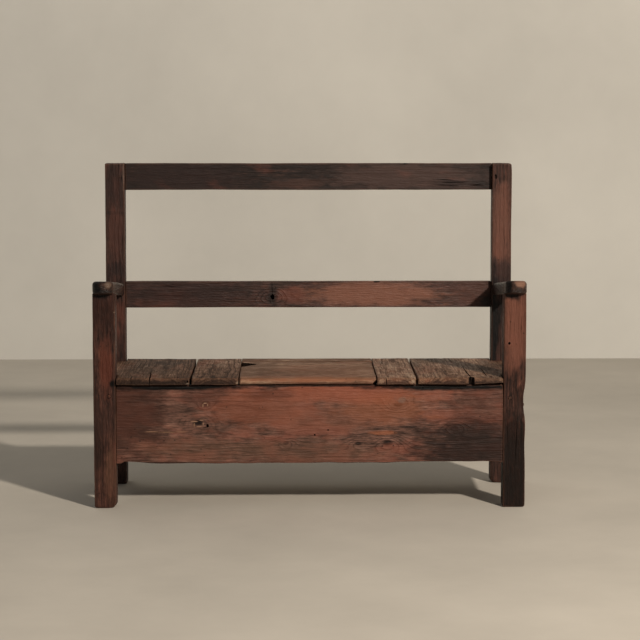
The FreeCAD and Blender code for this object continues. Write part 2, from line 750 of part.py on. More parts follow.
def buildBench():
    seatNails = []
    seatHoles = {}
    planks = {
        "board_left": plankNailPlaces(seatLeft, seatLeft + s.leftBoardWidth) + sideNailPlaces(-1),
        "cheek_left": plankNailPlaces(leftCheekX, leftCheekX + s.leftCheekWidth),
        "cheek_right": plankNailPlaces(rightCheekX, rightCheekX + s.rightCheekWidth),
        "board_right": plankNailPlaces(rightBoardX, seatRight) + sideNailPlaces(1),
        "strip": [(x, rearApronBack - s.wallThickness / 2, s.seatHeight)
                  for x in spread(lidLeft, lidRight, stripNailCount)],
    }
    for plank, places in planks.items():
        nails, holes = nailSet(f"seat_nail_{plank}", downward, s.seatNailLength, places)
        seatNails += nails
        seatHoles[plank] = holes

    lidNails = []
    lidHoles = {}
    for name in sides:
        middle = battenLow(name) + s.battenWidth / 2
        start = s.battenFront + s.nailInset
        step = (battenLength - s.nailInset * 2) / 3
        places = [(middle, start + step * index, lidUnder - s.battenThickness) for index in range(4)]
        nails, holes = nailSet(f"lid_nail_{name}", upward, s.lidNailLength, places)
        lidNails += nails
        lidHoles[name] = holes

    bottomNails = []
    bottomHoles = {}
    for number in range(1, bottomBoardCount + 1):
        nails, holes = nailSet(f"bottom_nail_{number}", downward, s.bottomNailLength,
                               bottomNailPlaces(number))
        bottomNails += nails
        bottomHoles[number] = holes
    allBottomHoles = sum(bottomHoles.values(), [])
    frontBottomHoles = [hole for index, hole in enumerate(allBottomHoles) if index % 4 < 2]
    rearBottomHoles = [hole for index, hole in enumerate(allBottomHoles) if index % 4 > 1]

    cleatHeight = cleatBottom + s.cleatSize / 2
    cleatPlaces = [bottomBoardSpan(number)[0] + bottomBoardWidth / 2
                   for number in range(1, bottomBoardCount + 1)]
    frontCleatNails, frontCleatHoles = nailSet(
        "cleat_nail_front", forward, s.cleatNailLength,
        [(x, frontApronBack + s.cleatSize, cleatHeight) for x in cleatPlaces])
    rearCleatNails, rearCleatHoles = nailSet(
        "cleat_nail_rear", backward, s.cleatNailLength,
        [(x, rearApronFront - s.cleatSize, cleatHeight) for x in cleatPlaces])

    frontSeatHoles = []
    rearSeatHoles = list(seatHoles["strip"])
    for plank in ("board_left", "cheek_left", "cheek_right", "board_right"):
        frontSeatHoles += seatHoles[plank][0:2]
        rearSeatHoles += seatHoles[plank][2:4]

    for name, side in sides.items():
        keep(f"front_leg_{name}", frontLegOf(name, side))
        keep(f"rear_post_{name}", rearPostOf(name, side))
        keep(f"arm_{name}", armOf(name, side))
        keep(f"side_apron_{name}", sideApronOf(name, side, seatHoles[f"board_{name}"][4:]))
    keep("top_rail", railOf("top_rail", s.benchHeight, s.topRailHeight, topRailPeg))
    keep("mid_rail", railOf("mid_rail", s.midRailTop, s.midRailHeight, midRailPeg))
    keep("front_apron", frontApron(frontSeatHoles + frontCleatHoles))
    keep("rear_apron", rearApron(rearSeatHoles + rearCleatHoles))

    keep("seat_board_left", seatBoardOf(
        "left", -1, seatLeft, seatLeft + s.leftBoardWidth, seatHoles["board_left"]))
    keep("seat_cheek_left", seatCheekOf(
        "left", leftCheekX, leftCheekX + s.leftCheekWidth,
        lidLeft - s.lidGap, towardsLeft, seatHoles["cheek_left"]))
    keep("seat_cheek_right", seatCheekOf(
        "right", rightCheekX, rightCheekX + s.rightCheekWidth,
        lidRight + s.lidGap, towardsRight, seatHoles["cheek_right"]))
    keep("seat_board_right", seatBoardOf(
        "right", 1, rightBoardX, seatRight, seatHoles["board_right"]))
    keep("seat_back_strip", seatBackStrip(seatHoles["strip"]))
    keep("seat_lid", seatLid(lidHoles["left"] + lidHoles["right"]))
    hingePins()
    lidBattens(lidHoles)
    bottomBoards(bottomHoles)
    cleatOf("front", frontApronBack, frontBottomHoles + frontCleatHoles)
    cleatOf("rear", rearApronFront - s.cleatSize, rearBottomHoles + rearCleatHoles)

    keep("front_apron_pegs", group("front_apron_peg_set", [
        peg(f"front_apron_peg_{name}", frontApronPeg(side)) for name, side in sides.items()]))
    keep("rear_apron_pegs", group("rear_apron_peg_set", [
        peg(f"rear_apron_peg_{name}", rearApronPeg(side)) for name, side in sides.items()]))
    keep("side_apron_pegs", group("side_apron_peg_set", [
        peg(f"side_apron_peg_{name}_{end}", sideApronPeg(side, end))
        for name, side in sides.items() for end in ("front", "rear")]))
    keep("top_rail_pegs", group("top_rail_peg_set", [
        peg("top_rail_peg_left", topRailPeg(-1)),
        peg("top_rail_peg_right", topRailPeg(1), s.lostPegRecess)]))
    keep("mid_rail_pegs", group("mid_rail_peg_set", [
        peg(f"mid_rail_peg_{name}", midRailPeg(side)) for name, side in sides.items()]))
    keep("arm_pegs", group("arm_peg_set", [
        peg(f"arm_peg_{name}_{end}", armPeg(side, end))
        for name, side in sides.items() for end in ("front", "rear")]))
    keep("seat_nails", group("seat_nail_set", seatNails))
    keep("lid_nails", group("lid_nail_set", lidNails))
    keep("bottom_nails", group("bottom_nail_set", bottomNails))
    keep("cleat_nails", group("cleat_nail_set", frontCleatNails + rearCleatNails))


def checkDocument():
    doc.recompute()
    for item in doc.Objects:
        if "Invalid" in item.State or "Error" in item.State:
            raise RuntimeError(f"{item.Label} could not be computed")
    for piece in subParts:
        if piece.Shape.isNull() or not piece.Shape.isValid():
            raise RuntimeError(f"{piece.Label} has no valid shape")


def writeParts():
    os.makedirs("parts", exist_ok=True)
    for piece in subParts:
        piece.Shape.exportStep(f"parts/{piece.Label}.step")


buildBench()
checkDocument()
writeParts()
print(len(subParts), "sub-parts written")
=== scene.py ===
import math
import random

import bmesh
import bpy
import numpy as np
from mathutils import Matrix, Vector


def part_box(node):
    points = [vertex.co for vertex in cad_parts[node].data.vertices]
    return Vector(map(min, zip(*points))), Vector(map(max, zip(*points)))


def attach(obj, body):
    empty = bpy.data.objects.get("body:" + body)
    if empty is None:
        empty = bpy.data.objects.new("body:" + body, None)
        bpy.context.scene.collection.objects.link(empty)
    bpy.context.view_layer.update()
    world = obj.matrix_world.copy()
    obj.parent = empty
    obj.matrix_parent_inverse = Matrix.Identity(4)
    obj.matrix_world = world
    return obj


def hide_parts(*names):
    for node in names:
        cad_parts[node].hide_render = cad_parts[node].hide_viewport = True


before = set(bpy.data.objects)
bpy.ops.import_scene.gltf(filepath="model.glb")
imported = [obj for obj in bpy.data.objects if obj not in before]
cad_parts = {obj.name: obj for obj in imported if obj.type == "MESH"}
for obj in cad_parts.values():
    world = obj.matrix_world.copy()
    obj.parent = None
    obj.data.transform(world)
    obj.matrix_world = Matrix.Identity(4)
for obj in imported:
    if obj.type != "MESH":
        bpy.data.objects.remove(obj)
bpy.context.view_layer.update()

# Settle bench: the looks. Places are in millimetres as (x along the bench, depth behind the
# front legs' faces, height above the floor), as in the workshop drawing.
frontFace = 216.0
edgeOffsets = (0.8, 2.0, 4.0, 7.0, 11.0, 16.0)
axisNumber = {"x": 0, "y": 1, "z": 2}


def metres(points):
    moved = np.array(points, float).reshape(-1, 3) - (0.0, frontFace, 0.0)
    return moved / 1000.0


def drawingBox(node):
    low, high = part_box(node)
    shift = np.array((0.0, frontFace, 0.0))
    return np.array(low) * 1000.0 + shift, np.array(high) * 1000.0 + shift


def colour(hexText):
    # sRGB hex to linear
    parts = [int(hexText[i:i + 2], 16) / 255.0 for i in (1, 3, 5)]
    return tuple(c / 12.92 if c <= 0.04045 else ((c + 0.055) / 1.055) ** 2.4 for c in parts) + (1.0,)


def addNode(tree, kind, inputs=None, output=0, **settings):
    # adds a node with its settings and links, and returns one of its outputs or, for None, the node
    node = tree.nodes.new(kind)
    for name, value in settings.items():
        setattr(node, name, value)
    for name, value in (inputs or {}).items():
        if isinstance(value, bpy.types.NodeSocket):
            tree.links.new(value, node.inputs[name])
        else:
            node.inputs[name].default_value = value
    return node if output is None else node.outputs[output]


def newMaterial(name):
    material = bpy.data.materials.new(name)
    material.use_nodes = True
    material.node_tree.nodes.clear()
    return material, material.node_tree


def newTree(name, sockets, made):
    # a geometry tree with its inputs, as (name, kind, value), and the name of what it makes
    tree = bpy.data.node_groups.new(name, "GeometryNodeTree")
    for label, kind, value in sockets:
        socket = tree.interface.new_socket(label, in_out="INPUT", socket_type="NodeSocket" + kind)
        if value is not None:
            socket.default_value = value
    tree.interface.new_socket(made, in_out="OUTPUT", socket_type="NodeSocketGeometry")
    return tree, addNode(tree, "NodeGroupInput", output=None).outputs


def linked(name, data):
    # a new object of the scene, at the origin
    piece = bpy.data.objects.new(name, data)
    bpy.context.scene.collection.objects.link(piece)
    return piece


def unevenness(points, wavelength, seed):
    # smooth noise from -1 to 1 at points in mm
    scaled = points / wavelength + seed * 7.31
    cell = np.floor(scaled).astype(np.int64)
    part = scaled - cell
    part = part * part * (3.0 - 2.0 * part)
    total = np.zeros(len(points))
    for corner in range(8):
        step = np.array([corner & 1, corner >> 1 & 1, corner >> 2 & 1])
        x, y, z = (cell + step).T
        mixed = (x * 73856093 ^ y * 19349663 ^ z * 83492791 ^ seed * 2654435) & 0xFFFFFF
        mixed = (mixed ^ (mixed >> 11)) * 1274127 & 0xFFFFFFF
        height = ((mixed >> 7) & 0xFFFF) / 32767.5 - 1.0
        total += height * np.prod(np.where(step, part, 1.0 - part), axis=1)
    return total


def ticksAlong(edges, step, offsets):
    # grid places that are close together near the edges
    low, high = min(edges), max(edges)
    places = sorted({edge + sign * offset for edge in edges for offset in (0.0,) + offsets for sign in (-1, 1)})
    kept = [low]
    for place in places:
        if place <= low or place > high:
            continue
        if place - kept[-1] < 0.5:
            if place in edges:
                kept[-1] = place
            continue
        count = max(1, math.ceil((place - kept[-1]) / step))
        start = kept[-1]
        kept += [start + (place - start) * (n + 1) / count for n in range(count)]
    return np.array(kept)


def gridSkin(boxes, step):
    # the closed skin of a few joined boxes, in fine quads
    ticks = []
    for axis in range(3):
        edges = sorted({float(corner[axis]) for pair in boxes for corner in pair})
        half = (max(edges) - min(edges)) / 2
        offsets = tuple(o for o in edgeOffsets if o < half * 0.9)
        ticks.append(ticksAlong(edges, step[axis], offsets))
    middles = [(t[1:] + t[:-1]) / 2 for t in ticks]
    grid = np.stack(np.meshgrid(*middles, indexing="ij"), axis=-1)
    solid = np.zeros(grid.shape[:3], bool)
    for low, high in boxes:
        solid |= np.all((grid > low) & (grid < high), axis=-1)
    counts = [len(t) for t in ticks]
    walled = np.pad(solid, 1)
    faces = []
    for axis in range(3):
        u, v = (axis + 1) % 3, (axis + 2) % 3
        for sign in (-1, 1):
            bare = (walled & ~np.roll(walled, -sign, axis))[1:-1, 1:-1, 1:-1]
            cell = np.argwhere(bare)
            ring = []
            for du, dv in ((0, 0), (1, 0), (1, 1), (0, 1)) if sign > 0 else ((0, 0), (0, 1), (1, 1), (1, 0)):
                corner = cell.copy()
                corner[:, axis] += 1 if sign > 0 else 0
                corner[:, u] += du
                corner[:, v] += dv
                ring.append((corner[:, 0] * counts[1] + corner[:, 1]) * counts[2] + corner[:, 2])
            faces.append(np.stack(ring, axis=1))
    faces = np.concatenate(faces)
    used, faces = np.unique(faces, return_inverse=True)
    faces = faces.reshape(-1, 4)
    index = np.unravel_index(used, counts)
    points = np.stack([ticks[a][index[a]] for a in range(3)], axis=1)
    return points, faces


def coreOf(points, boxes, depth):
    # nearest point inside the boxes once each is shrunk by depth
    best = None
    for low, high in boxes:
        core = np.clip(points, low + depth[:, None], high - depth[:, None])
        gap = np.linalg.norm(points - core, axis=1)
        if best is None:
            best, bestGap = core, gap
        else:
            closer = gap < bestGap - 1e-9
            best[closer] = core[closer]
            bestGap = np.minimum(gap, bestGap)
    return best


def nearness(points, centre, reach):
    return np.exp(-(((points - centre) / reach) ** 2).sum(axis=1))


def wornSkin(boxes, step, wear):
    # the points and faces of a timber whose arrises are rubbed round, with three values for each
    # point: how near the arris it is, how near an edge, and the way outward
    points, faces = gridSkin(boxes, step)
    thin = min((high - low).min() for low, high in boxes)
    full = np.full(len(points), min(6.0, thin * 0.4))
    away = points - coreOf(points, boxes, full)
    length = np.linalg.norm(away, axis=1)
    arris = np.clip((1.0 - np.abs(away).max(axis=1) / length) / 0.29, 0.0, 1.0)
    wide = min(16.0, thin * 0.4)
    outward = (points - coreOf(points, boxes, np.full(len(points), wide))) / wide
    radius = wear["arris"] * (1.0 + 0.5 * unevenness(points, 70.0, wear["seed"]))
    for centre, reach, size in wear.get("soften", ()):
        radius += (size - wear["arris"]) * nearness(points, centre, reach)
    radius = np.clip(radius, 0.4, thin * 0.46)
    core = coreOf(points, boxes, radius)
    out = points - core
    out /= np.linalg.norm(out, axis=1)[:, None]
    points = core + out * radius[:, None]
    for centre, reach, depth in wear.get("hollows", ()):
        points = points - out * (depth * nearness(points, centre, reach))[:, None]
    return points, faces, {"arris": arris, "edge": np.sort(np.abs(outward), axis=1)[:, 1], "outward": outward}


def meshOf(name, points, faces):
    mesh = bpy.data.meshes.new(name)
    mesh.from_pydata(metres(points).tolist(), [], [list(map(int, f)) for f in faces])
    mesh.update()
    return mesh


def splitCutter(path, width, depth, up, ends=(0.1, 0.1), seed=0):
    # a wedge that opens a drying split along a path on a face; ends say how open it is at each end
    draw = random.Random(seed)
    up = Vector(up)
    path = [Vector(p) for p in path]
    line = []
    for start, end in zip(path, path[1:]):
        pieces = max(2, round((end - start).length / 14.0))
        line += [start.lerp(end, n / pieces) for n in range(pieces)]
    line.append(path[-1])
    points, faces = [], []
    for n, place in enumerate(line):
        side = (line[min(n + 1, len(line) - 1)] - line[max(n - 1, 0)]).cross(up).normalized()
        share = n / (len(line) - 1)
        gape = min(1.0, ends[0] + 3.0 * share, ends[1] + 3.0 * (1.0 - share))
        middle = place + side * draw.uniform(-0.8, 0.8)
        half = width / 2 * gape * draw.uniform(0.75, 1.15) + 0.15
        points += [middle + side * half + up * 2.0, middle - side * half + up * 2.0, middle - up * depth * gape]
    for n in range(len(line) - 1):
        a = n * 3
        faces += [(a, a + 1, a + 4, a + 3), (a + 1, a + 2, a + 5, a + 4), (a + 2, a, a + 3, a + 5)]
    last = (len(line) - 1) * 3
    faces += [(0, 2, 1), (last, last + 1, last + 2)]
    return [tuple(p) for p in points], faces


def holeCutter(axis, corners, low, high):
    # a many-sided hole or notch; corners are given on the two other axes, in drawing order
    others = [n for n in range(3) if n != axisNumber[axis]]
    points = []
    for level in (low, high):
        for corner in corners:
            point = [level] * 3
            point[others[0]], point[others[1]] = corner
            points.append(tuple(point))
    count = len(corners)
    faces = [tuple(range(count)), tuple(reversed(range(count, 2 * count)))]
    faces += [(n, (n + 1) % count, (n + 1) % count + count, n + count) for n in range(count)]
    return points, faces


def unevenRound(centre, radii, seed, count=11):
    draw = random.Random(seed)
    return [(centre[0] + math.cos(a) * radii[0] * draw.uniform(0.8, 1.15),
             centre[1] + math.sin(a) * radii[1] * draw.uniform(0.8, 1.15))
            for a in (2 * math.pi * n / count for n in range(count))]


def cutterObject(name, cutters, material):
    whole = bmesh.new()
    for points, faces in cutters:
        verts = [whole.verts.new(p) for p in metres(points)]
        for face in faces:
            whole.faces.new([verts[n] for n in face])
    bmesh.ops.triangulate(whole, faces=[f for f in whole.faces if len(f.verts) > 4])
    bmesh.ops.recalc_face_normals(whole, faces=whole.faces)
    mesh = bpy.data.meshes.new(name)
    whole.to_mesh(mesh)
    whole.free()
    mesh.materials.append(material)
    return linked(name, mesh)


def wearTree():
    # the rule that all old timber here follows: broad hollows, ripples along the grain
    tree, given = newTree("wornTimber", (
        ("Timber", "Geometry", None), ("Hollow Depth", "Float", 0.0012),
        ("Hollow Size", "Vector", (0.3, 0.3, 0.3)), ("Ripple Depth", "Float", 0.0004),
        ("Ripple Size", "Vector", (0.1, 0.01, 0.01)), ("Seed", "Float", 1.0),
        ("Finish", "Material", None)), "Worn")
    place = addNode(tree, "GeometryNodeInputPosition")
    total = 0.0
    for part in ("Hollow", "Ripple"):
        scaled = addNode(tree, "ShaderNodeVectorMath", {0: place, 1: given[part + " Size"]}, operation="DIVIDE")
        noise = addNode(tree, "ShaderNodeTexNoise",
                        {"Vector": scaled, "W": given["Seed"], "Scale": 1.0, "Detail": 2.0},
                        noise_dimensions="4D")
        share = addNode(tree, "ShaderNodeMapRange", {"Value": noise, "From Min": 0.34, "From Max": 0.8})
        total = addNode(tree, "ShaderNodeMath", {0: share, 1: given[part + " Depth"], 2: total},
                        operation="MULTIPLY_ADD")
    inward = addNode(tree, "ShaderNodeMath", {0: total, 1: -1.0}, operation="MULTIPLY")
    outward = addNode(tree, "GeometryNodeInputNamedAttribute", {"Name": "outward"}, data_type="FLOAT_VECTOR")
    offset = addNode(tree, "ShaderNodeVectorMath", {0: outward, "Scale": inward}, operation="SCALE")
    moved = addNode(tree, "GeometryNodeSetPosition", {"Geometry": given["Timber"], "Offset": offset})
    whole = addNode(tree, "GeometryNodeRealizeInstances", {"Geometry": moved})
    coated = addNode(tree, "GeometryNodeSetMaterial", {"Geometry": whole, "Material": given["Finish"]})
    addNode(tree, "NodeGroupOutput", {"Worn": coated}, output=None)
    return tree


def setInputs(modifier, values):
    # a modifier's inputs are set by the socket's identifier
    sockets = {item.name: item.identifier for item in modifier.node_group.interface.items_tree
               if item.item_type == "SOCKET" and item.in_out == "INPUT"}
    for name, value in values.items():
        modifier[sockets[name]] = value


def settle(piece):
    # turns what the modifiers make into the piece's own plain mesh
    graph = bpy.context.evaluated_depsgraph_get()
    mesh = bpy.data.meshes.new_from_object(piece.evaluated_get(graph), preserve_all_data_layers=True,
                                           depsgraph=graph)
    piece.modifiers.clear()
    piece.data = mesh
    mesh.polygons.foreach_set("use_smooth", [True] * len(mesh.polygons))
    mesh.set_sharp_from_angle(angle=math.radians(38))
    return piece


wornTimber = wearTree()


def timber(name, nodes, body, boxes, wear, finish, bend=None):
    # an old timber from its boxes, in mm; nodes are the solids that it stands for
    points, faces, closeness = wornSkin(boxes, wear["step"], wear)
    if bend:
        points = bend(points)
    mesh = meshOf(name, points, faces)
    for key, values in closeness.items():
        kind, field = ("FLOAT_VECTOR", "vector") if values.ndim == 2 else ("FLOAT", "value")
        mesh.attributes.new(key, kind, "POINT").data.foreach_set(field, values.astype(np.float32).ravel())
    piece = linked(name, mesh)
    worn = piece.modifiers.new("worn", "NODES")
    worn.node_group = wornTimber
    setInputs(worn, {
        "Hollow Depth": wear["hollowDepth"] / 1000.0, "Hollow Size": [m / 1000.0 for m in wear["hollowSize"]],
        "Ripple Depth": wear["rippleDepth"] / 1000.0, "Ripple Size": [m / 1000.0 for m in wear["rippleSize"]],
        "Seed": float(wear["seed"]), "Finish": finish})
    # splits and holes are cut one after the other, because they meet
    tools = []
    splits = [splitCutter(*split, seed=wear["seed"] + n) for n, split in enumerate(wear.get("splits", ()))]
    holes = [holeCutter(*hole) for hole in wear.get("holes", ())]
    for key, made in (("splits", splits), ("holes", holes)):
        if made:
            tools.append(cutterObject(name + key.title(), made, splitWood))
            cut = piece.modifiers.new(key, "BOOLEAN")
            cut.operation, cut.solver, cut.material_mode = "DIFFERENCE", "EXACT", "TRANSFER"
            cut.object = tools[-1]
    settle(piece)
    for tool in tools:
        bpy.data.objects.remove(tool)
    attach(piece, body)
    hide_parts(*nodes)
    return piece


# Noise layers in the wood: size in mm along and across the grain, and detail. Real fibres are
# finer than a pixel, so these are drawn as coarse as they need to show.
woodLayers = {
    "warp": (420, 95, 2.0), "spacing": (160, 30, 2.0), "showing": (500, 130, 2.0),
    "streaks": (330, 7, 4.0), "fibres": (80, 2.4, 3.0), "pores": (24, 3.2, 2.0), "patches": (380, 120, 3.0),
    "cloud": (260, 90, 4.0), "wash": (150, 60, 5.0), "grime": (40, 26, 4.0), "ragged": (60, 22, 3.0),
    "rub": (90, 40, 3.0), "specking": (200, 120, 1.0)}


def distanceFrom(tree, place, spot, weights, shift=(0.0, 0.0, 0.0)):
    # how far a place is from a spot in mm, with each axis weighed and then shifted
    gap = addNode(tree, "ShaderNodeVectorMath", {0: place, 1: metres([spot])[0].tolist()},
                  operation="SUBTRACT")
    gap = addNode(tree, "ShaderNodeVectorMath", {0: gap, 1: weights, 2: shift}, operation="MULTIPLY_ADD")
    return addNode(tree, "ShaderNodeVectorMath", {0: gap}, output="Value", operation="LENGTH")


def rampOf(tree, value, stops):
    # a value turned into colours by a ramp's stops, as (position, colour)
    ramp = addNode(tree, "ShaderNodeValToRGB", {0: value}, output=None)
    elements = ramp.color_ramp.elements
    for n, (position, shade) in enumerate(stops):
        stop = elements[n] if n < 2 else elements.new(position)
        stop.position, stop.color = position, shade
    return ramp.outputs[0]


def agedWood(name, look):
    # old softwood: annual rings round a pith, fibres, knots, stains, rubbed arrises, specks
    material, tree = newMaterial(name)
    along, through = axisNumber[look["grain"]], axisNumber[look["through"]]
    place = addNode(tree, "ShaderNodeTexCoord", output="Object")
    shift = [look["seed"] * s for s in (1.37, 0.73, 0.91)]
    shifted = addNode(tree, "ShaderNodeVectorMath", {0: place, 1: shift}, operation="ADD")
    layer, swing = {}, {}
    for key, (alongMm, acrossMm, detail) in woodLayers.items():
        size = [1000.0 / (alongMm if axis == along else acrossMm) for axis in range(3)]
        scaled = addNode(tree, "ShaderNodeVectorMath", {0: shifted, 1: size}, operation="MULTIPLY")
        noise = addNode(tree, "ShaderNodeTexNoise", {
            "Vector": scaled, "Scale": 1.0, "Detail": detail, "Roughness": 0.6}, output=None)
        layer[key] = noise.outputs[0]
        if key in ("warp", "ragged"):
            swing[key] = addNode(tree, "ShaderNodeVectorMath", {0: noise.outputs[1], 1: (0.5, 0.5, 0.5)},
                                 operation="SUBTRACT")
    speckSize = [1000.0 / 28.0] * 3
    scaled = addNode(tree, "ShaderNodeVectorMath", {0: shifted, 1: speckSize}, operation="MULTIPLY")
    layer["cell"] = addNode(tree, "ShaderNodeTexVoronoi", {"Vector": scaled, "Scale": 1.0}, output="Distance")

    # how strongly a layer shows: between which of its values that changes, and from what to what
    shown = {}
    for key, start, end, least, most in (
            ("showing", 0.35, 0.62, 0.25, 1.0), ("specking", 0.5, 0.6, 0.0, 1.0),
            ("cell", 0.05, 0.13, look["specks"], 0.0),
            ("cloud", look["stainFrom"], look["stainFrom"] + 0.16, 0.0, look["stainAmount"]),
            ("wash", look["washFrom"], look["washFrom"] + 0.2, 0.0, look["washAmount"]),
            ("rub", 0.3, 0.65, 0.2 * look["rubbed"], look["rubbed"])):
        shown[key] = addNode(tree, "ShaderNodeMapRange", {
            "Value": layer[key], "From Min": start, "From Max": end, "To Min": least, "To Max": most},
            interpolation_type="SMOOTHSTEP")
    settled = addNode(tree, "ShaderNodeMapRange", {
        "Value": layer["grime"], "From Min": 0.3, "From Max": 0.7, "To Min": 0.35 * look["dirt"],
        "To Max": look["dirt"]})

    # annual rings: distance from the pith, pushed aside by each knot
    bend = [look["warp"] / 1000.0] * 3
    bent = addNode(tree, "ShaderNodeVectorMath", {0: swing["warp"], 1: bend, 2: place},
                   operation="MULTIPLY_ADD")
    taper = [look["taper"] if a == along else 1.0 for a in range(3)]
    rings = addNode(tree, "ShaderNodeMath", {
        0: distanceFrom(tree, bent, look["pith"], taper), 1: 1000.0 / look["ringWidth"]},
        operation="MULTIPLY")
    knotShade = None
    for spot, size in look.get("knots", ()):
        weights = [0.0 if a == through else (0.55 if a == along else 1.0) * 1000.0 / size for a in range(3)]
        gap = distanceFrom(tree, place, spot, weights)
        push = addNode(tree, "ShaderNodeMath", {0: gap, 1: 2.0}, operation="POWER")
        push = addNode(tree, "ShaderNodeMath", {0: push, 1: -0.35}, operation="MULTIPLY")
        push = addNode(tree, "ShaderNodeMath", {0: push}, operation="EXPONENT")
        rings = addNode(tree, "ShaderNodeMath", {0: push, 1: 2.2 * size / look["ringWidth"], 2: rings},
                        operation="MULTIPLY_ADD")
        core = addNode(tree, "ShaderNodeMapRange", {
            "Value": gap, "From Min": 0.3, "From Max": 0.75, "To Min": 1.0, "To Max": 0.0},
            interpolation_type="SMOOTHSTEP")
        knotShade = core if knotShade is None else addNode(
            tree, "ShaderNodeMath", {0: knotShade, 1: core}, operation="MAXIMUM")
    rings = addNode(tree, "ShaderNodeMath", {0: layer["spacing"], 1: 1.6, 2: rings}, operation="MULTIPLY_ADD")
    rings = addNode(tree, "ShaderNodeMath", {0: rings}, operation="FRACT")
    ringShades = ((0.0, 0.1), (0.5, 0.0), (0.82, 1.0), (1.0, 0.1))
    late = addNode(tree, "ShaderNodeMath", {
        0: rampOf(tree, rings, [(position, (shade, shade, shade, 1.0)) for position, shade in ringShades]),
        1: shown["showing"]}, operation="MULTIPLY")

    # one tone from dark to pale, then its colour
    tone = addNode(tree, "ShaderNodeMath", {0: late, 1: -look["rings"], 2: 0.5 + look.get("paler", 0.0)},
                   operation="MULTIPLY_ADD")
    for key in ("streaks", "fibres", "pores", "patches", "grime"):
        change = addNode(tree, "ShaderNodeMath", {0: layer[key], 1: 0.5}, operation="SUBTRACT")
        tone = addNode(tree, "ShaderNodeMath", {0: change, 1: look[key], 2: tone}, operation="MULTIPLY_ADD")
    last = len(look["tones"]) - 1
    coat = rampOf(tree, tone, [(0.1 + 0.8 * n / last, colour(t)) for n, t in enumerate(look["tones"])])

    # what lies over the wood, each with where it shows: knots, stains, marks, specks, dirt, rubbed arrises;
    # some of the marks that a piece lists are painted shade, shadows and highlights
    over = [] if knotShade is None else [(knotShade, look["knotColour"])]
    over += [(shown["wash"], look["washColour"]), (shown["cloud"], look["stain"])]
    ragged = addNode(tree, "ShaderNodeVectorMath", {0: swing["ragged"], 1: [look["ragged"]] * 3},
                     operation="MULTIPLY")
    for spot, reach, hexText, amount in look.get("spots", ()):
        gap = distanceFrom(tree, place, spot, [1000.0 / r for r in reach], ragged)
        over.append((addNode(tree, "ShaderNodeMapRange", {
            "Value": gap, "From Min": 0.45, "From Max": 1.1, "To Min": amount, "To Max": 0.0},
            interpolation_type="SMOOTHSTEP"), hexText))
    edge = addNode(tree, "ShaderNodeAttribute", output="Fac", attribute_name="edge")
    edge = addNode(tree, "ShaderNodeMath", {0: edge, 1: 1.6}, operation="POWER")
    arris = addNode(tree, "ShaderNodeAttribute", output="Fac", attribute_name="arris")
    for where, strength, hexText in (
            (shown["cell"], shown["specking"], "#1a110d"), (edge, settled, look["dirtColour"]),
            (arris, shown["rub"], look["rubbedColour"])):
        over.append((addNode(tree, "ShaderNodeMath", {0: where, 1: strength}, operation="MULTIPLY"), hexText))
    for amount, hexText in over:
        coat = addNode(tree, "ShaderNodeMix", {0: amount, 6: coat, 7: colour(hexText)}, output=2,
                       data_type="RGBA")

    rough = addNode(tree, "ShaderNodeMapRange", {
        "Value": tone, "From Min": 0.2, "From Max": 0.8, "To Min": look["rough"][1],
        "To Max": look["rough"][0]}, interpolation_type="SMOOTHSTEP")
    height = layer["streaks"]
    for raised, share in ((layer["fibres"], 0.9), (layer["pores"], 0.9), (layer["grime"], 0.8), (late, 0.5)):
        height = addNode(tree, "ShaderNodeMath", {0: raised, 1: share, 2: height}, operation="MULTIPLY_ADD")
    relief = addNode(tree, "ShaderNodeBump", {"Height": height, "Strength": look["relief"], "Distance": 0.0022})
    surface = addNode(tree, "ShaderNodeBsdfPrincipled", {
        "Base Color": coat, "Roughness": rough, "Normal": relief, "Specular IOR Level": look["gloss"]})
    addNode(tree, "ShaderNodeOutputMaterial", {"Surface": surface}, output=None)
    return material


# Stained and waxed pine of the frame: dull red brown, dark where dirt has settled, soft sheen
waxedPine = {
    "grain": "z", "through": "y", "seed": 1, "pith": (0, 90, 0), "warp": 16, "taper": 0.02, "ringWidth": 9.0,
    "rings": 0.24, "streaks": 0.7, "fibres": 0.75, "pores": 0.8, "patches": 0.8, "grime": 0.7,
    "tones": ("#190f0c", "#32201a", "#472d26", "#634135"), "knotColour": "#170d0a", "ragged": 1.3,
    "gloss": 0.16, "stain": "#241814", "stainFrom": 0.55, "stainAmount": 0.6, "specks": 0.7,
    "washColour": "#6b3c2f", "washFrom": 0.52, "washAmount": 0.45, "dirt": 0.7, "dirtColour": "#150d0a",
    "rubbed": 0.4, "rubbedColour": "#7d5645", "rough": (0.4, 0.62), "relief": 0.8}
# Front board: the same pine under what is left of a red-ochre wash
washedPine = dict(
    waxedPine, grain="x", through="y", seed=5, pith=(0, 110, 300), ringWidth=9.0, warp=34, rings=0.26,
    streaks=0.4, fibres=0.75, pores=0.9, grime=1.0, patches=0.45,
    tones=("#31221c", "#513a31", "#6c4d42", "#856254"), stain="#31231d", stainFrom=0.56, stainAmount=0.25,
    washColour="#875040", washFrom=0.44, washAmount=0.5, dirt=0.6)
# Seat: pine that was sat on and scrubbed, dry and grey brown
sittingPine = dict(
    waxedPine, grain="y", through="z", seed=9, pith=(0, 0, 330), ringWidth=9.0, rings=0.26, warp=20,
    streaks=0.5, fibres=0.8, pores=0.7, grime=0.9,
    tones=("#2a1b13", "#573f31", "#7d5e4a", "#a88a72"), stain="#35261e", stainFrom=0.56, stainAmount=0.5,
    washColour="#845340", washFrom=0.5, washAmount=0.45, dirt=0.75,
    rough=(0.5, 0.75), rubbedColour="#94705a", rubbed=0.3, relief=1.0)
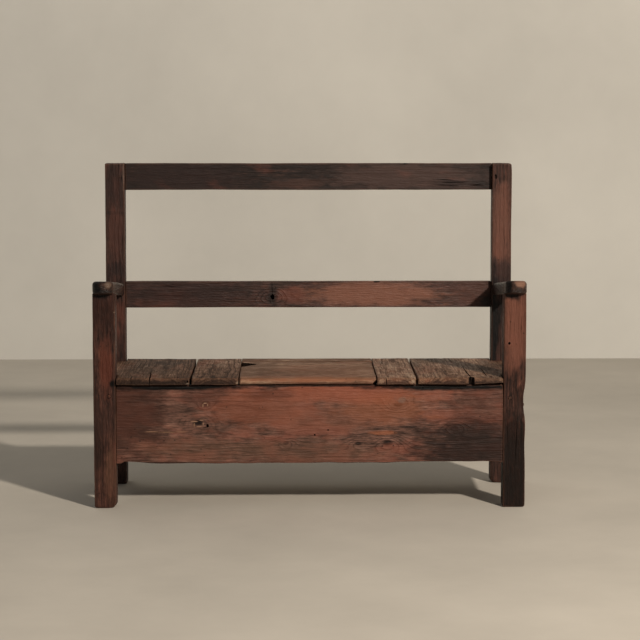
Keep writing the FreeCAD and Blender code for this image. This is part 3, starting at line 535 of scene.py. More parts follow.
# Arms: the same wax, polished by hands to a dark shine
polishedPine = dict(
    waxedPine, grain="y", through="z", seed=13, pith=(0, 0, 660), ringWidth=7.0, rings=0.2,
    tones=("#120b08", "#241611", "#38241b", "#56392b"), stainAmount=0.4, rough=(0.3, 0.45),
    rubbedColour="#6a5044", washColour="#4a2f24", dirt=0.2, rubbed=0.2, gloss=0.25)
# Inside of the box: bare pine gone brown with age, dusty and dull
barePine = dict(
    waxedPine, grain="y", through="z", seed=21, pith=(0, 0, 60),
    tones=("#3f3025", "#5e4837", "#7a614c", "#907560"), stain="#42352b", stainAmount=0.4,
    rough=(0.7, 0.85), rubbedColour="#9c8167", washColour="#6f5642", dirt=0.4)
# Fresh-split walls of cracks and holes: dark with old dirt, no sheen
splitPine = dict(
    barePine, seed=30, tones=("#0d0806", "#160e0a", "#1f140e", "#2a1b14"), stain="#0a0605", rubbed=0.0,
    rings=0.05, specks=0.0, rough=(0.85, 0.95), washAmount=0.0, dirt=0.0)
splitWood = agedWood("PineSplitDirty", splitPine)
print("materials ready")

# How the surface of a timber is worn, by the way its grain runs; sizes in mm
wornAlong = {
    grain: {
        "step": [10.0 if grain == axis else 6.0 for axis in "xyz"], "arris": 2.4, "hollowDepth": 1.6,
        "hollowSize": [260.0 if grain == axis else 90.0 for axis in "xyz"], "rippleDepth": 0.7,
        "rippleSize": [110.0 if grain == axis else 13.0 for axis in "xyz"]}
    for grain in "xyz"}

legLow, legHigh = drawingBox("front_leg_right")
postLow, postHigh = drawingBox("rear_post_right")
armLow, armHigh = drawingBox("arm_right")
innerX, postFront = postLow[0], postLow[1]
armThickness, armDrop, noseHeight = 42.0, 49.0, armHigh[2]
armFall = armDrop / (postFront - armLow[1])
sunk = 0.6  # how far a timber's end runs into the one it is joined to
clearance = 1.0  # between an end board's notches and the leg and post
toFront, toTop = (0, -1, 0), (0, 0, 1)


def armTop(depth):
    return noseHeight - (depth - armLow[1]) * armFall


def notched(low, high):
    # an end board's boxes: between the legs and posts it is longer than along their inner faces
    inner = innerX - clearance
    full = (np.array((max(low[0], -inner), low[1], low[2])), np.array((min(high[0], inner), high[1], high[2])))
    between = (np.array((low[0], legHigh[1] + clearance, low[2])),
               np.array((high[0], postFront - clearance, high[2])))
    return [full, between]


def marksOn(depth, reach, marks):
    # marks on an upright face: across, up, width, height, colour, strength
    return [((x, depth, z), (wide, reach, high), shade, strength)
            for x, z, wide, high, shade, strength in marks]


def mirrored(low, high, side):
    # the box of the same piece on the left or right
    if side > 0:
        return np.array(low), np.array(high)
    return np.array((-high[0], low[1], low[2])), np.array((-low[0], high[1], high[2]))


legDepth, intoArm, slopeFrom = 68.0, 2.5, 560.0
frontLeg = {
    "left": dict(
        wornAlong["z"], seed=3, arris=2.6,
        soften=[
            ((-627, 20, 0), (18, 70, 24), 17), ((-700, 20, 0), (14, 70, 14), 7),
            ((-663, 34, 703), (60, 60, 8), 0.5)],
        holes=[("y", unevenRound((-649, 367), (7.2, 7.2), 4), -4, 5)],
        splits=[([(-668, 0, 240), (-671, 0, 90)], 1.8, 6, toFront),
                ([(-640, 0, 610), (-643, 0, 500)], 1.4, 5, toFront)],
        look=dict(seed=3.1, pith=(-720, 95, 0), spots=[
            ((-663, 0, 640), (60, 60, 90), "#26140f", 0.75), ((-658, 0, 470), (28, 60, 110), "#5c2f22", 0.6),
            # the last mark is painted shade: a near-black strip down the leg's outer edge, which turns from the
            # light
            ((-690, 0, 250), (22, 60, 150), "#20140f", 0.6), ((-701, 0, 380), (6, 80, 480), "#0d0807", 0.8),
            ((-655, 0, 290), (60, 60, 70), "#3a2620", 0.5), ((-645, 0, 120), (26, 50, 120), "#6b4a39", 0.4),
            # painted shadows: under the seat board's end beside the leg, and under the arm's nose
            ((-628, 0, 409), (26, 40, 16), "#060403", 1.0), ((-676, 0, 698), (44, 30, 17), "#0a0605", 0.95),
            ((-630, 0, 640), (1.8, 20, 2.2), "#b09a86", 0.7)])),
    "right": dict(
        wornAlong["z"], seed=7, arris=2.6,
        hollows=[((702, 10, 346), (34, 70, 44), 9.5), ((702, 10, 200), (30, 60, 60), 2.5)],
        soften=[
            ((700, 20, 0), (14, 60, 14), 6), ((700, 0, 346), (20, 30, 60), 6),
            ((663, 34, 703), (60, 60, 8), 0.5)],
        holes=[
            ("y", unevenRound((649, 359), (7.2, 7.2), 9), -4, 5),
            ("y", unevenRound((645, 537), (4, 4.6), 5, 9), -5, 26)],
        splits=[([(672, 0, 330), (668, 0, 120)], 2.2, 8, toFront),
                ([(640, 0, 300), (643, 0, 190)], 1.6, 6, toFront),
                ([(684, 0, 640), (682, 0, 560)], 1.4, 5, toFront)],
        look=dict(seed=7.7, pith=(610, 90, 0), spots=[
            # painted light and shade: the first mark lightens the upper leg and the first mark on the next line
            # darkens the foot, as the light falls off; the second mark here is painted shadow under the arm's
            # nose
            ((663, 0, 585), (80, 70, 170), "#72483a", 0.7), ((640, 0, 697), (52, 30, 21), "#0a0605", 0.95),
            ((663, 0, 120), (120, 120, 250), "#130d0a", 0.9), ((690, 0, 350), (24, 60, 70), "#2a1b16", 0.6)]))}
for end, side in (("left", -1), ("right", 1)):
    settings = frontLeg[end]
    finish = agedWood("PineWaxedLeg" + end.title(),
                      dict(waxedPine, fibres=1.1, pores=1.2, relief=1.1, **settings["look"]))
    box = mirrored((legLow[0], 0.0, 0.0), (legHigh[0], legDepth, armTop(0.0) - armThickness + intoArm), side)

    def underArm(points):
        # the leg's top is cut to the arm's slope, drawn out over its upper part
        lift = np.clip((points[:, 2] - slopeFrom) / (box[1][2] - slopeFrom), 0.0, 1.0)
        points[:, 2] -= lift * points[:, 1] * armFall
        return points

    timber("frontLeg" + end.title(), ["front_leg_" + end], "bench", [box], settings, finish,
           underArm)

rearPost = {
    "left": dict(
        wornAlong["z"], seed=12, arris=2.2,
        soften=[((-627, 400, 1060), (10, 10, 60), 5)],
        splits=[([(-636, 400, 1070), (-639, 400, 1036)], 4.5, 4, toFront, (0.3, 0.1)),
                ([(-660, 400, 560), (-657, 400, 400)], 1.6, 6, toFront)],
        look=dict(seed=12.3, pith=(-700, 480, 0), paler=-0.1, spots=[
            ((-661, 400, 936), (60, 40, 7), "#180f0d", 0.6),
            ((-660, 400, 1020), (70, 60, 90), "#261714", 0.6),
            ((-660, 400, 745), (60, 60, 40), "#1c1312", 0.6),
            ((-630, 400, 1060), (5, 20, 60), "#7d6a60", 0.5),
            ((-655, 400, 860), (30, 40, 110), "#54332a", 0.4)])),
    "right": dict(
        wornAlong["z"], seed=17, arris=2.2,
        soften=[((694, 430, 1105), (18, 60, 18), 10), ((627, 430, 0), (20, 60, 24), 14)],
        holes=[("y", unevenRound((639, 1059), (4.6, 8.6), 6, 9), 396, 408)],
        splits=[([(668, 400, 900), (671, 400, 800)], 1.6, 6, toFront)],
        look=dict(seed=17.9, pith=(600, 470, 0), spots=[
            ((655, 400, 880), (60, 60, 190), "#754d3f", 0.5),
            ((655, 400, 735), (70, 60, 60), "#251b1a", 0.75),
            ((630, 400, 570), (40, 70, 190), "#080505", 0.95),
            ((627, 405, 560), (20, 90, 190), "#040303", 1.0)]))}
for end, side in (("left", -1), ("right", 1)):
    settings = rearPost[end]
    finish = agedWood("PineWaxedPost" + end.title(),
                      dict(waxedPine, streaks=0.5, patches=0.6, gloss=0.22, **settings["look"]))
    timber("rearPost" + end.title(), ["rear_post_" + end], "bench",
           [mirrored(postLow, postHigh, side)], settings, finish)

rail = {
    "top": dict(
        wornAlong["x"], seed=22, arris=2.0,
        splits=[([(424, 420, 1050), (508, 420, 1047)], 4.0, 7, toFront),
                ([(452, 420, 1039), (556, 420, 1040)], 5.0, 8, toFront),
                ([(418, 420, 1030), (520, 420, 1028)], 3.6, 6, toFront),
                ([(540, 420, 1031), (606, 420, 1029)], 4.2, 7, toFront),
                ([(-250, 420, 1062), (-110, 420, 1060)], 1.4, 4, toFront)],
        holes=[("y", [(322, 1110), (338, 1110), (334, 1102), (326, 1101)], 415, 428)],
        look=dict(seed=22.4, pith=(0, 500, 1030), paler=-0.42, spots=marksOn(420, 60, [
            # these two make the rail lighter to the right and darker to the left: partly stain, partly painted
            # falloff of the light
            (330, 1060, 330, 60, "#4f3a34", 0.5), (-450, 1060, 290, 70, "#22120f", 0.7),
            (-40, 1035, 120, 22, "#54382f", 0.35), (480, 1038, 90, 12, "#1c1210", 0.6)]))),
    "mid": dict(
        wornAlong["x"], seed=26, arris=2.0,
        splits=[([(-502, 420, 684), (-430, 420, 680)], 3.4, 6, toFront),
                ([(-482, 420, 691), (-448, 420, 690)], 2.4, 5, toFront),
                ([(-560, 420, 652), (-380, 420, 648)], 1.4, 4, toFront),
                ([(-126, 420, 697), (-125, 420, 652)], 2.6, 9, toFront, (0.6, 0.6)),
                ([(-134, 420, 642), (-131, 420, 616)], 2.0, 5, toFront, (0.5, 0.1)),
                ([(-112, 420, 690), (-115, 420, 668)], 1.8, 4, toFront, (0.3, 0.1)),
                ([(-2, 420, 662), (24, 420, 661)], 2.2, 5, toFront)],
        holes=[("y", unevenRound((-124, 646), (7.0, 9.5), 3), 412, 438),
               ("y", [(218, 704), (248, 704), (243, 697), (226, 695)], 414, 430)],
        look=dict(seed=26.8, pith=(0, 500, 655), knots=[((-124, 420, 648), 15)], spots=marksOn(420, 60, [
            # these two make the rail lighter in the middle and darker to the left: partly stain, partly painted
            # falloff of the light
            (220, 655, 300, 60, "#7d5241", 0.75), (-440, 655, 290, 70, "#261512", 0.7),
            # painted shadow: these two darken the rail's right end, where the right arm's shadow falls
            (570, 655, 90, 60, "#47291f", 0.5), (620, 628, 50, 44, "#090605", 0.9),
            (-124, 655, 20, 50, "#170d0a", 0.75), (-60, 650, 60, 40, "#6d3e31", 0.5)])))}
for level in ("top", "mid"):
    settings = rail[level]
    finish = agedWood("PineWaxedRail" + level.title(),
                      dict(waxedPine, grain="x", gloss=0.3, **settings["look"]))
    low, high = drawingBox(level + "_rail")
    low[0], high[0] = -innerX - sunk, innerX + sunk
    timber(level + "Rail", [level + "_rail"], "bench", [(low, high)], settings, finish)
print("legs, posts and rails made")

# The deep front board, with its lower edge eaten away at the left
frontBoard = dict(
    wornAlong["x"], seed=31, arris=2.0, hollowDepth=2.2, rippleDepth=0.9,
    soften=[((0, 4, 404), (2000, 14, 12), 7)],
    lowerEdge=((-627, 0), (-612, 0), (-604, 7), (-585, 6), (-540, 3), (-500, 0), (230, 0), (330, 3), (600, 3),
               (627, 0)),
    splits=[([(-540, 4, 249), (-392, 4, 246)], 1.2, 3, toFront),
            ([(-345, 4, 262), (-326, 4, 268)], 3.0, 8, toFront, (0.4, 0.4)),
            ([(430, 4, 272), (470, 4, 266)], 1.6, 5, toFront),
            ([(150, 4, 214), (164, 4, 211)], 1.6, 5, toFront)],
    holes=[
        ("y", unevenRound((-331, 270), (4.5, 6.5), 8, 9), 0, 16),
        ("y", unevenRound((16, 239), (3.4, 3.4), 8, 7), 0, 10),
        ("y", unevenRound((59, 255), (3.4, 2.6), 9, 7), 0, 10),
        ("y", unevenRound((365, 392), (2.6, 2.6), 9, 7), 0, 10)],
    look=dict(
        knots=[((-362, 4, 280), 17), ((-78, 4, 213), 10), ((157, 4, 210), 11), ((253, 4, 212), 18),
               ((286, 4, 337), 14), ((-335, 4, 338), 9), ((470, 4, 262), 12)],
        spots=marksOn(4, 60, [
            (120, 378, 360, 46, "#874b36", 0.65), (250, 320, 190, 60, "#865036", 0.5),
            (-170, 330, 190, 70, "#7d4936", 0.6), (60, 290, 240, 50, "#744837", 0.4),
            # these two darken the right and left ends: partly stain, partly painted falloff of the light away
            # from the middle
            (560, 200, 260, 130, "#1f1512", 0.9), (-590, 330, 150, 220, "#331d16", 0.75),
            (-320, 190, 260, 50, "#5b4334", 0.4), (20, 180, 260, 50, "#5d4335", 0.45),
            (560, 340, 120, 110, "#4a2a20", 0.5), (-350, 360, 90, 40, "#4a2b22", 0.5),
            (300, 352, 16, 12, "#6f5c52", 0.5), (235, 245, 50, 10, "#9a5b3c", 0.5),
            # painted shadow: the last mark on this line and both marks on the next lay a near-black band along
            # the top, under the seat boards' overhang
            (-130, 372, 80, 24, "#4a2a20", 0.5), (-430, 398, 300, 17, "#050302", 1.0),
            (430, 398, 300, 17, "#050302", 1.0), (0, 404, 360, 9, "#060403", 1.0),
            # painted shade: a dark line along the lower edge, where its arris faces down away from the light
            (-470, 147, 170, 5, "#0b0605", 0.9), (220, 146, 240, 3.5, "#0b0605", 0.8),
            (-376, 284, 13, 2.6, "#93715a", 0.8), (-352, 288, 9, 2.2, "#93715a", 0.7),
            (-374, 272, 3, 9, "#8a6952", 0.6), (-356, 267, 12, 2.4, "#93715a", 0.7),
            (-345, 276, 3, 6, "#93715a", 0.6), (-346, 335, 2.8, 6, "#967860", 0.7),
            (-339, 343, 7, 2.2, "#967860", 0.8), (-331, 337, 2.4, 5, "#967860", 0.6),
            (-512, 250, 26, 1.9, "#8b6a52", 0.7), (-466, 248, 34, 2.0, "#8b6a52", 0.7),
            (-414, 250, 24, 1.8, "#8b6a52", 0.6)])))
low, high = drawingBox("front_apron")
low[0], high[0] = -innerX - sunk, innerX + sunk


def eatenEdge(points):
    # the lower edge follows the eaten line, a little unevenly, and the face above it is drawn along
    reach, uneven, wavelength, lift = 40.0, 1.2, 45.0, 1.0
    wave = np.interp(points[:, 0], *zip(*frontBoard["lowerEdge"]))
    share = np.clip(1.0 - (points[:, 2] - low[2]) / reach, 0.0, 1.0)
    points[:, 2] += (wave + uneven * unevenness(points, wavelength, 5) + lift) * share
    return points


timber("frontBoard", ["front_apron"], "bench", [(low, high)], frontBoard,
       agedWood("PineRedWash", dict(washedPine, **frontBoard["look"])), eatenEdge)

# The box's other walls, its bottom and the lid's battens
hidden = {
    "rearBoard": ("rear_apron", "x", "apron_timber", "bench"),
    "sideBoardLeft": ("side_apron_left", "y", "apron_timber", "bench"),
    "sideBoardRight": ("side_apron_right", "y", "apron_timber", "bench"),
    "cleatFront": ("bottom_cleat_front", "x", "box_timber", "bench"),
    "cleatRear": ("bottom_cleat_rear", "x", "box_timber", "bench"),
    "battenLeft": ("lid_batten_left", "y", "box_timber", "lid"),
    "battenRight": ("lid_batten_right", "y", "box_timber", "lid")}
finishes = {
    ("apron_timber", "x"): agedWood("PineWaxedRearBoard", dict(
        waxedPine, grain="x", seed=41, pith=(0, 330, 280), ringWidth=10)),
    ("apron_timber", "y"): agedWood("PineWaxedSideBoards", dict(
        waxedPine, grain="y", through="x", seed=43, pith=(0, 0, 250), ringWidth=10)),
    ("box_timber", "x"): agedWood("PineBareCleats", dict(barePine, grain="x", seed=45)),
    ("box_timber", "y"): agedWood("PineBareBoards", barePine)}
for number, (name, (node, grain, slot, body)) in enumerate(hidden.items()):
    low, high = drawingBox(node)
    if node == "rear_apron":
        low[0], high[0] = -innerX - sunk, innerX + sunk
    if node.startswith("side_apron"):
        low[1], high[1] = legHigh[1] - sunk, postFront + sunk
    wear = dict(wornAlong[grain], seed=50 + number, hollowDepth=1.0,
                step=[18.0 if a == grain else 9.0 for a in "xyz"])
    timber(name, [node], body, [(low, high)], wear, finishes[slot, grain])
for number in range(1, 7):
    node = f"bottom_board_{number}"
    low, high = drawingBox(node)
    boxes = notched(low, high) if number in (1, 6) else [(low, high)]
    wear = dict(wornAlong["y"], seed=60 + number, hollowDepth=1.2, step=(12.0, 18.0, 8.0))
    timber(f"bottomBoard{number}", [node], "bench", boxes, wear, finishes["box_timber", "y"])
print("box made")

frontArris = ((0, -9, 428), (2000, 13, 14), 7)
backArris = ((0, 460, 416), (2000, 16, 40), 0.5)
seat = {
    "boardLeft": dict(
        node="seat_board_left", body="bench", grain="y", seed=71, arris=1.8, hollowDepth=2.2,
        soften=[frontArris, backArris],
        splits=[([(-516, -13, 428), (-518, 60, 428), (-524, 156, 428)], 4.6, 27, toTop, (1.0, 0.1)),
                ([(-577, -13, 428), (-577, 40, 428)], 3.0, 22, toTop, (1.0, 0.1)),
                ([(-560, 240, 428), (-548, 330, 428)], 1.4, 4, toTop),
                ([(-440, 120, 428), (-446, 260, 428)], 1.4, 4, toTop),
                ([(-480, 300, 428), (-474, 420, 428)], 1.6, 5, toTop)],
        holes=[("y", unevenRound((-395, 416), (3.2, 3.2), 3, 8), -16, 6)],
        look=dict(seed=71.2, pith=(-500, 0, 350), paler=-0.12, spots=[
            ((-540, 230, 428), (120, 260, 40), "#43352c", 0.5),
            ((-480, 360, 428), (60, 60, 30), "#2e2521", 0.45),
            # painted shade: this mark and the first mark on the next line darken the board's front face
            ((-560, -11, 408), (130, 12, 19), "#221813", 0.9),
            ((-440, -11, 408), (110, 12, 19), "#221813", 0.9), ((-395, -9, 409), (7, 10, 3), "#8a7a6c", 0.7)])),
    "cheekLeft": dict(
        node="seat_cheek_left", body="bench", grain="y", seed=74, arris=1.8, hollowDepth=2.0,
        soften=[frontArris, backArris, ((-231, -9, 414), (16, 14, 30), 9)],
        splits=[([(-380, 372, 428), (-352, 330, 428), (-326, 292, 428)], 5.0, 7, toTop, (0.4, 0.1)),
                ([(-322, 322, 428), (-286, 280, 428)], 1.4, 3, toTop)],
        holes=[("z", [(-386, 455), (-371, 456), (-369, 464), (-386, 464)], 420, 432),
               ("z", [(-358, 457), (-349, 457), (-347, 464), (-360, 464)], 421, 432)],
        look=dict(seed=74.6, pith=(-300, 0, 350), paler=0.0, spots=[
            # painted shade: the first mark darkens the front face
            ((-310, -11, 408), (130, 12, 19), "#2b1f1a", 0.9), ((-233, -9, 411), (7, 12, 6), "#a08d7c", 0.7),
            ((-304, 300, 428), (24, 20, 20), "#8d7a69", 0.45)])),
    "cheekRight": dict(
        node="seat_cheek_right", body="bench", grain="y", seed=77, arris=1.8, hollowDepth=1.6,
        soften=[frontArris, backArris],
        splits=[([(246, -9, 434), (248, -9, 402)], 3.4, 9, toFront, (1.0, 1.0)),
                ([(300, 120, 428), (304, 230, 428)], 1.2, 3, toTop)],
        look=dict(seed=77.1, pith=(280, 0, 350), paler=0.17, spots=[
            # painted shade: the first mark darkens the front face
            ((280, -11, 406), (110, 12, 17), "#453129", 0.85), ((231, -9, 416), (12, 10, 10), "#9c7f69", 0.6),
            ((334, -9, 414), (8, 10, 8), "#a58e79", 0.6)])),
    "boardRight": dict(
        node="seat_board_right", body="bench", grain="y", seed=79, arris=1.8, hollowDepth=2.0,
        soften=[frontArris, backArris],
        splits=[([(521, -13, 428), (518, 90, 428), (515, 232, 428)], 4.6, 27, toTop, (1.0, 0.1)),
                ([(576, 6, 428), (572, 224, 428)], 4.2, 9, toTop, (0.3, 0.1)),
                ([(600, 150, 428), (602, 300, 428)], 1.6, 5, toTop),
                ([(430, 300, 428), (436, 410, 428)], 1.2, 3, toTop)],
        holes=[("z", [(512, -14), (534, -14), (531, 1), (526, 9), (520, 7), (514, -1)], 398, 434)],
        look=dict(seed=79.8, pith=(470, 0, 350), paler=0.06, spots=[
            # painted shadow of the right arm and leg, lying along the seat beside the leg
            ((620, 240, 428), (60, 200, 30), "#3b2d25", 0.6),
            # painted shade: both marks darken the front face
            ((430, -11, 406), (130, 12, 17), "#35251f", 0.9), ((580, -11, 406), (80, 12, 17), "#2b1f1b", 0.9),
            ((600, 30, 428), (70, 60, 30), "#4f3e33", 0.5), ((400, 400, 428), (90, 80, 30), "#433529", 0.4)])),
    "backStrip": dict(
        node="seat_back_strip", body="bench", grain="x", seed=82, arris=1.8, hollowDepth=1.2, soften=[],
        look=dict(seed=82.5, pith=(0, 420, 350), paler=0.0)),
    "lid": dict(
        node="seat_lid", body="lid", grain="x", seed=85, arris=2.0, hollowDepth=2.0,
        soften=[((0, -2, 428), (2000, 14, 15), 8), ((0, 378, 416), (2000, 16, 60), 11.4)],
        splits=[([(-150, 90, 428), (60, 100, 428)], 1.2, 3, toTop),
                ([(-60, 250, 428), (150, 240, 428)], 1.4, 4, toTop),
                ([(-180, 180, 428), (-60, 186, 428)], 1.2, 3, toTop)],
        holes=[
            ("z", [(-240, 243), (-215, 260), (-196, 288), (-176, 306), (-181, 320), (-205, 345), (-240, 364)],
             396, 434),
            ("y", [(200, 398), (222, 398), (222, 419), (212, 418), (205, 411)], -8, 15)],
        look=dict(seed=85.9, pith=(0, 180, 340), paler=0.1, spots=[
            ((-20, -4, 423), (290, 20, 13), "#8f5d43", 0.7), ((-10, 30, 428), (280, 24, 10), "#8a5c47", 0.5),
            # painted shade: the first mark darkens the lower front face
            ((0, -4, 405), (320, 6, 9), "#4a2c21", 0.85), ((60, 180, 428), (240, 200, 30), "#86604b", 0.45),
            ((-170, 200, 428), (70, 220, 30), "#604738", 0.45)]))}


def droopingFront(points):
    # the outer end of the right board's front edge is worn thin above and below
    wornFrom, wornOver, edge, fade, worn = 531.0, 95.0, -9.0, 50.0, 5.5
    underside, thickness = 404.0, 24.0
    share = np.clip((points[:, 0] - wornFrom) / wornOver, 0.0, 1.0)
    share = share * np.exp(-np.clip(points[:, 1] - edge, 0.0, None) / fade)
    above = (points[:, 2] - underside) / thickness
    points[:, 2] += share * (worn - 2.0 * worn * above)
    return points


for name, plank in seat.items():
    low, high = drawingBox(plank["node"])
    boxes = notched(low, high) if name.startswith("board") else [(low, high)]
    grain = plank["grain"]
    kept = ("seed", "arris", "hollowDepth", "soften", "splits", "holes")
    wear = dict(wornAlong[grain], **{key: plank[key] for key in plank if key in kept})
    title = name[0].upper() + name[1:]
    finish = agedWood("PineSeat" + title, dict(sittingPine, grain=grain, **plank["look"]))
    slot = "lid_timber" if plank["body"] == "lid" else "seat_timber"
    timber("seat" + title, [plank["node"]], plank["body"], boxes, wear, finish,
           droopingFront if name == "boardRight" else None)
print("seat made")

# Arms: flat, falling to the back, the nose rounded in plan and all arrises rubbed by hands
armRest = dict(
    wornAlong["y"], step=(5.0, 7.0, 5.0), arris=7.0, hollowDepth=1.4, noseFrom=4.0, noseSquare=1.85,
    spots={
        "left": [
            # painted shade: the nose's outer half, turned from the light
            ((-692, -10, 724), (38, 60, 70), "#060404", 1.0),
            # painted highlight on the nose's upper right
            ((-645, -24, 730), (14, 24, 14), "#6a5648", 0.7),
            # painted shade under the nose, and painted light on the inner side that faces the lamp
            ((-655, -24, 706), (50, 24, 10), "#0d0908", 0.8), ((-630, 60, 728), (10, 60, 40), "#4f3a2f", 0.5)],
        "right": [
            # painted highlight on the nose's upper right, and painted shade under the nose
            ((680, -22, 736), (24, 24, 18), "#8a6552", 0.7), ((668, -26, 708), (40, 20, 9), "#1a1210", 0.8),
            # painted shade: the nose's inner half and the arm's inner side, turned from the light
            ((632, -10, 724), (20, 60, 70), "#060404", 1.0), ((628, 200, 700), (9, 330, 60), "#060404", 1.0)]})
for end, side in (("left", -1), ("right", 1)):
    wear = dict(armRest, seed=90 + side)
    wear["soften"] = [((side * 665, 20, 703), (90, 76, 14), 2), ((side * 665, 240, 703), (90, 240, 8), 4),
                      ((side * 665, -28, 745), (70, 40, 20), 13), ((side * 700, -4, 703), (14, 30, 14), 11)]
    wear["hollows"] = [((side * 627, 52, 724), (12, 44, 60), 4)]
    box = mirrored((armLow[0], armLow[1], noseHeight - armThickness),
                   (armHigh[0], postFront + sunk, noseHeight), side)
    middle = (box[0][0] + box[1][0]) / 2
    half = (box[1][0] - box[0][0]) / 2

    def slopedNose(points):
        # the part in front of the leg is drawn into a half round, then the whole falls to the back
        across = np.clip(np.abs(points[:, 0] - middle) / (half + 0.4), 0.0, 1.0)
        ahead = np.clip(armRest["noseFrom"] - points[:, 1], 0.0, None)
        points[:, 1] += ahead * (1.0 - (1.0 - across ** armRest["noseSquare"]) ** (1.0 / armRest["noseSquare"]))
        points[:, 2] -= (points[:, 1] - box[0][1]) * armFall
        return points

    timber("arm" + end.title(), ["arm_" + end], "bench", [box], wear,
           agedWood("PinePolishedArm" + end.title(), dict(
               polishedPine, seed=90.5 + side, pith=(side * 690, 0, 640), spots=armRest["spots"][end])),
           slopedNose)


def fastenerTree():
    # sets one template at every place, headed and sized as the place says
    tree, given = newTree("drivenIn", (
        ("Places", "Geometry", None), ("Template", "Object", None), ("Turn Seed", "Int", None),
        ("Hammer Marks", "Float", None), ("Finish", "Material", None)), "Fasteners")
    heading = addNode(tree, "GeometryNodeInputNamedAttribute", {"Name": "heading"}, data_type="FLOAT_VECTOR")
    size = addNode(tree, "GeometryNodeInputNamedAttribute", {"Name": "size"}, data_type="FLOAT_VECTOR")
    aimed = addNode(tree, "FunctionNodeAlignRotationToVector", {"Vector": heading}, axis="Z")
    turn = addNode(tree, "FunctionNodeRandomValue",
                   {0: (0.0, 0.0, -3.1), 1: (0.0, 0.0, 3.1), "Seed": given["Turn Seed"]},
                   data_type="FLOAT_VECTOR")
    turned = addNode(tree, "FunctionNodeRotateRotation", {"Rotation": aimed, "Rotate By": turn},
                     rotation_space="LOCAL")
    template = addNode(tree, "GeometryNodeObjectInfo", {"Object": given["Template"]}, output="Geometry")
    placed = addNode(tree, "GeometryNodeInstanceOnPoints", {
        "Points": given["Places"], "Instance": template, "Rotation": turned, "Scale": size})
    whole = addNode(tree, "GeometryNodeRealizeInstances", {"Geometry": placed})
    marks = addNode(tree, "ShaderNodeTexNoise", {"Scale": 320.0, "Detail": 1.0}, output=1)
    marks = addNode(tree, "ShaderNodeVectorMath", {0: marks, 1: (0.5, 0.5, 0.5)}, operation="SUBTRACT")
    marks = addNode(tree, "ShaderNodeVectorMath", {0: marks, "Scale": given["Hammer Marks"]}, operation="SCALE")
    marked = addNode(tree, "GeometryNodeSetPosition", {"Geometry": whole, "Offset": marks})
    coated = addNode(tree, "GeometryNodeSetMaterial", {"Geometry": marked, "Material": given["Finish"]})
    addNode(tree, "NodeGroupOutput", {"Fasteners": coated}, output=None)
    return tree


def turnedTemplate(name, profile, sides):
    # a small solid from (radius, height) pairs, highest first
    points, faces = [(0.0, 0.0, profile[0][1])], []
    turns = [2 * math.pi * n / sides for n in range(sides)]
    for radius, height in profile:
        points += [(radius * math.cos(a), radius * math.sin(a), height) for a in turns]
    points.append((0.0, 0.0, profile[-1][1]))
    for n in range(sides):
        after = (n + 1) % sides
        faces.append((0, 1 + n, 1 + after))
        for ring in range(len(profile) - 1):
            a, b = 1 + ring * sides, 1 + (ring + 1) * sides
            faces.append((a + n, b + n, b + after, a + after))
        last = 1 + (len(profile) - 1) * sides
        faces.append((len(points) - 1, last + after, last + n))
    mesh = bpy.data.meshes.new(name)
    mesh.from_pydata(points, [], faces)
    return linked(name, mesh)


def solidsOf(node):
    # the boxes of a node's separate solids, in mm
    whole = bmesh.new()
    whole.from_mesh(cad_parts[node].data)
    bmesh.ops.remove_doubles(whole, verts=whole.verts, dist=1e-6)
    whole.verts.ensure_lookup_table()
    seen, boxes = set(), []
    for start in whole.verts:
        if start.index in seen:
            continue
        heap, corners = [start], []
        seen.add(start.index)
        while heap:
            vert = heap.pop()
            corners.append(vert.co[:])
            for edge in vert.link_edges:
                other = edge.other_vert(vert)
                if other.index not in seen:
                    seen.add(other.index)
                    heap.append(other)
        corners = np.array(corners) * 1000.0 + (0.0, frontFace, 0.0)
        boxes.append((corners.min(axis=0), corners.max(axis=0)))
    whole.free()
    return boxes


drivenIn = fastenerTree()
pegTemplate = turnedTemplate(
    "pegTemplate", [(0.45, 0.0), (0.86, -0.012), (0.99, -0.04), (1.0, -0.5), (0.96, -1.0)], 12)
nailTemplate = turnedTemplate(
    "nailTemplate", [(2.2, 0.0), (2.5, -0.006), (2.45, -0.02), (1.0, -0.05), (0.9, -0.9), (0.2, -1.0)], 9)
rodTemplate = turnedTemplate("rodTemplate", [(0.9, 0.0), (1.0, -0.02), (1.0, -0.98), (0.9, -1.0)], 20)

# Each set: the template, what it belongs to, its hammer marks in metres, a girth where the solid's
# own doesn't serve, and its nodes with the way their outer ends point
headDepth, boxMiddle = 0.3, frontFace + 14.0
fasteners = {
    "pegsFrame": dict(
        template=pegTemplate, body="bench", slot="peg_wood", marks=0.0004, seed=3, finish="peg",
        nodes={"front_apron_pegs": toFront, "rear_apron_pegs": (0, 1, 0), "side_apron_pegs": "outwards",
               "top_rail_pegs": toFront, "mid_rail_pegs": (0, 1, 0), "arm_pegs": "outwards"}),
    "nailsBench": dict(
        template=nailTemplate, body="bench", slot="iron", marks=0.0005, seed=5, finish="iron", girth=1.8,
        nodes={"seat_nails": toTop, "bottom_nails": toTop, "cleat_nails": "inwards"}),
    "nailsLid": dict(
        template=nailTemplate, body="lid", slot="iron", marks=0.0005, seed=7, finish="iron", girth=1.8,
        nodes={"lid_nails": (0, 0, -1)}),
    "hingePins": dict(
        template=rodTemplate, body="bench", slot="iron", marks=0.0, seed=9, finish="iron",
        nodes={"lid_hinge_pin_left": (1, 0, 0), "lid_hinge_pin_right": (-1, 0, 0)})}


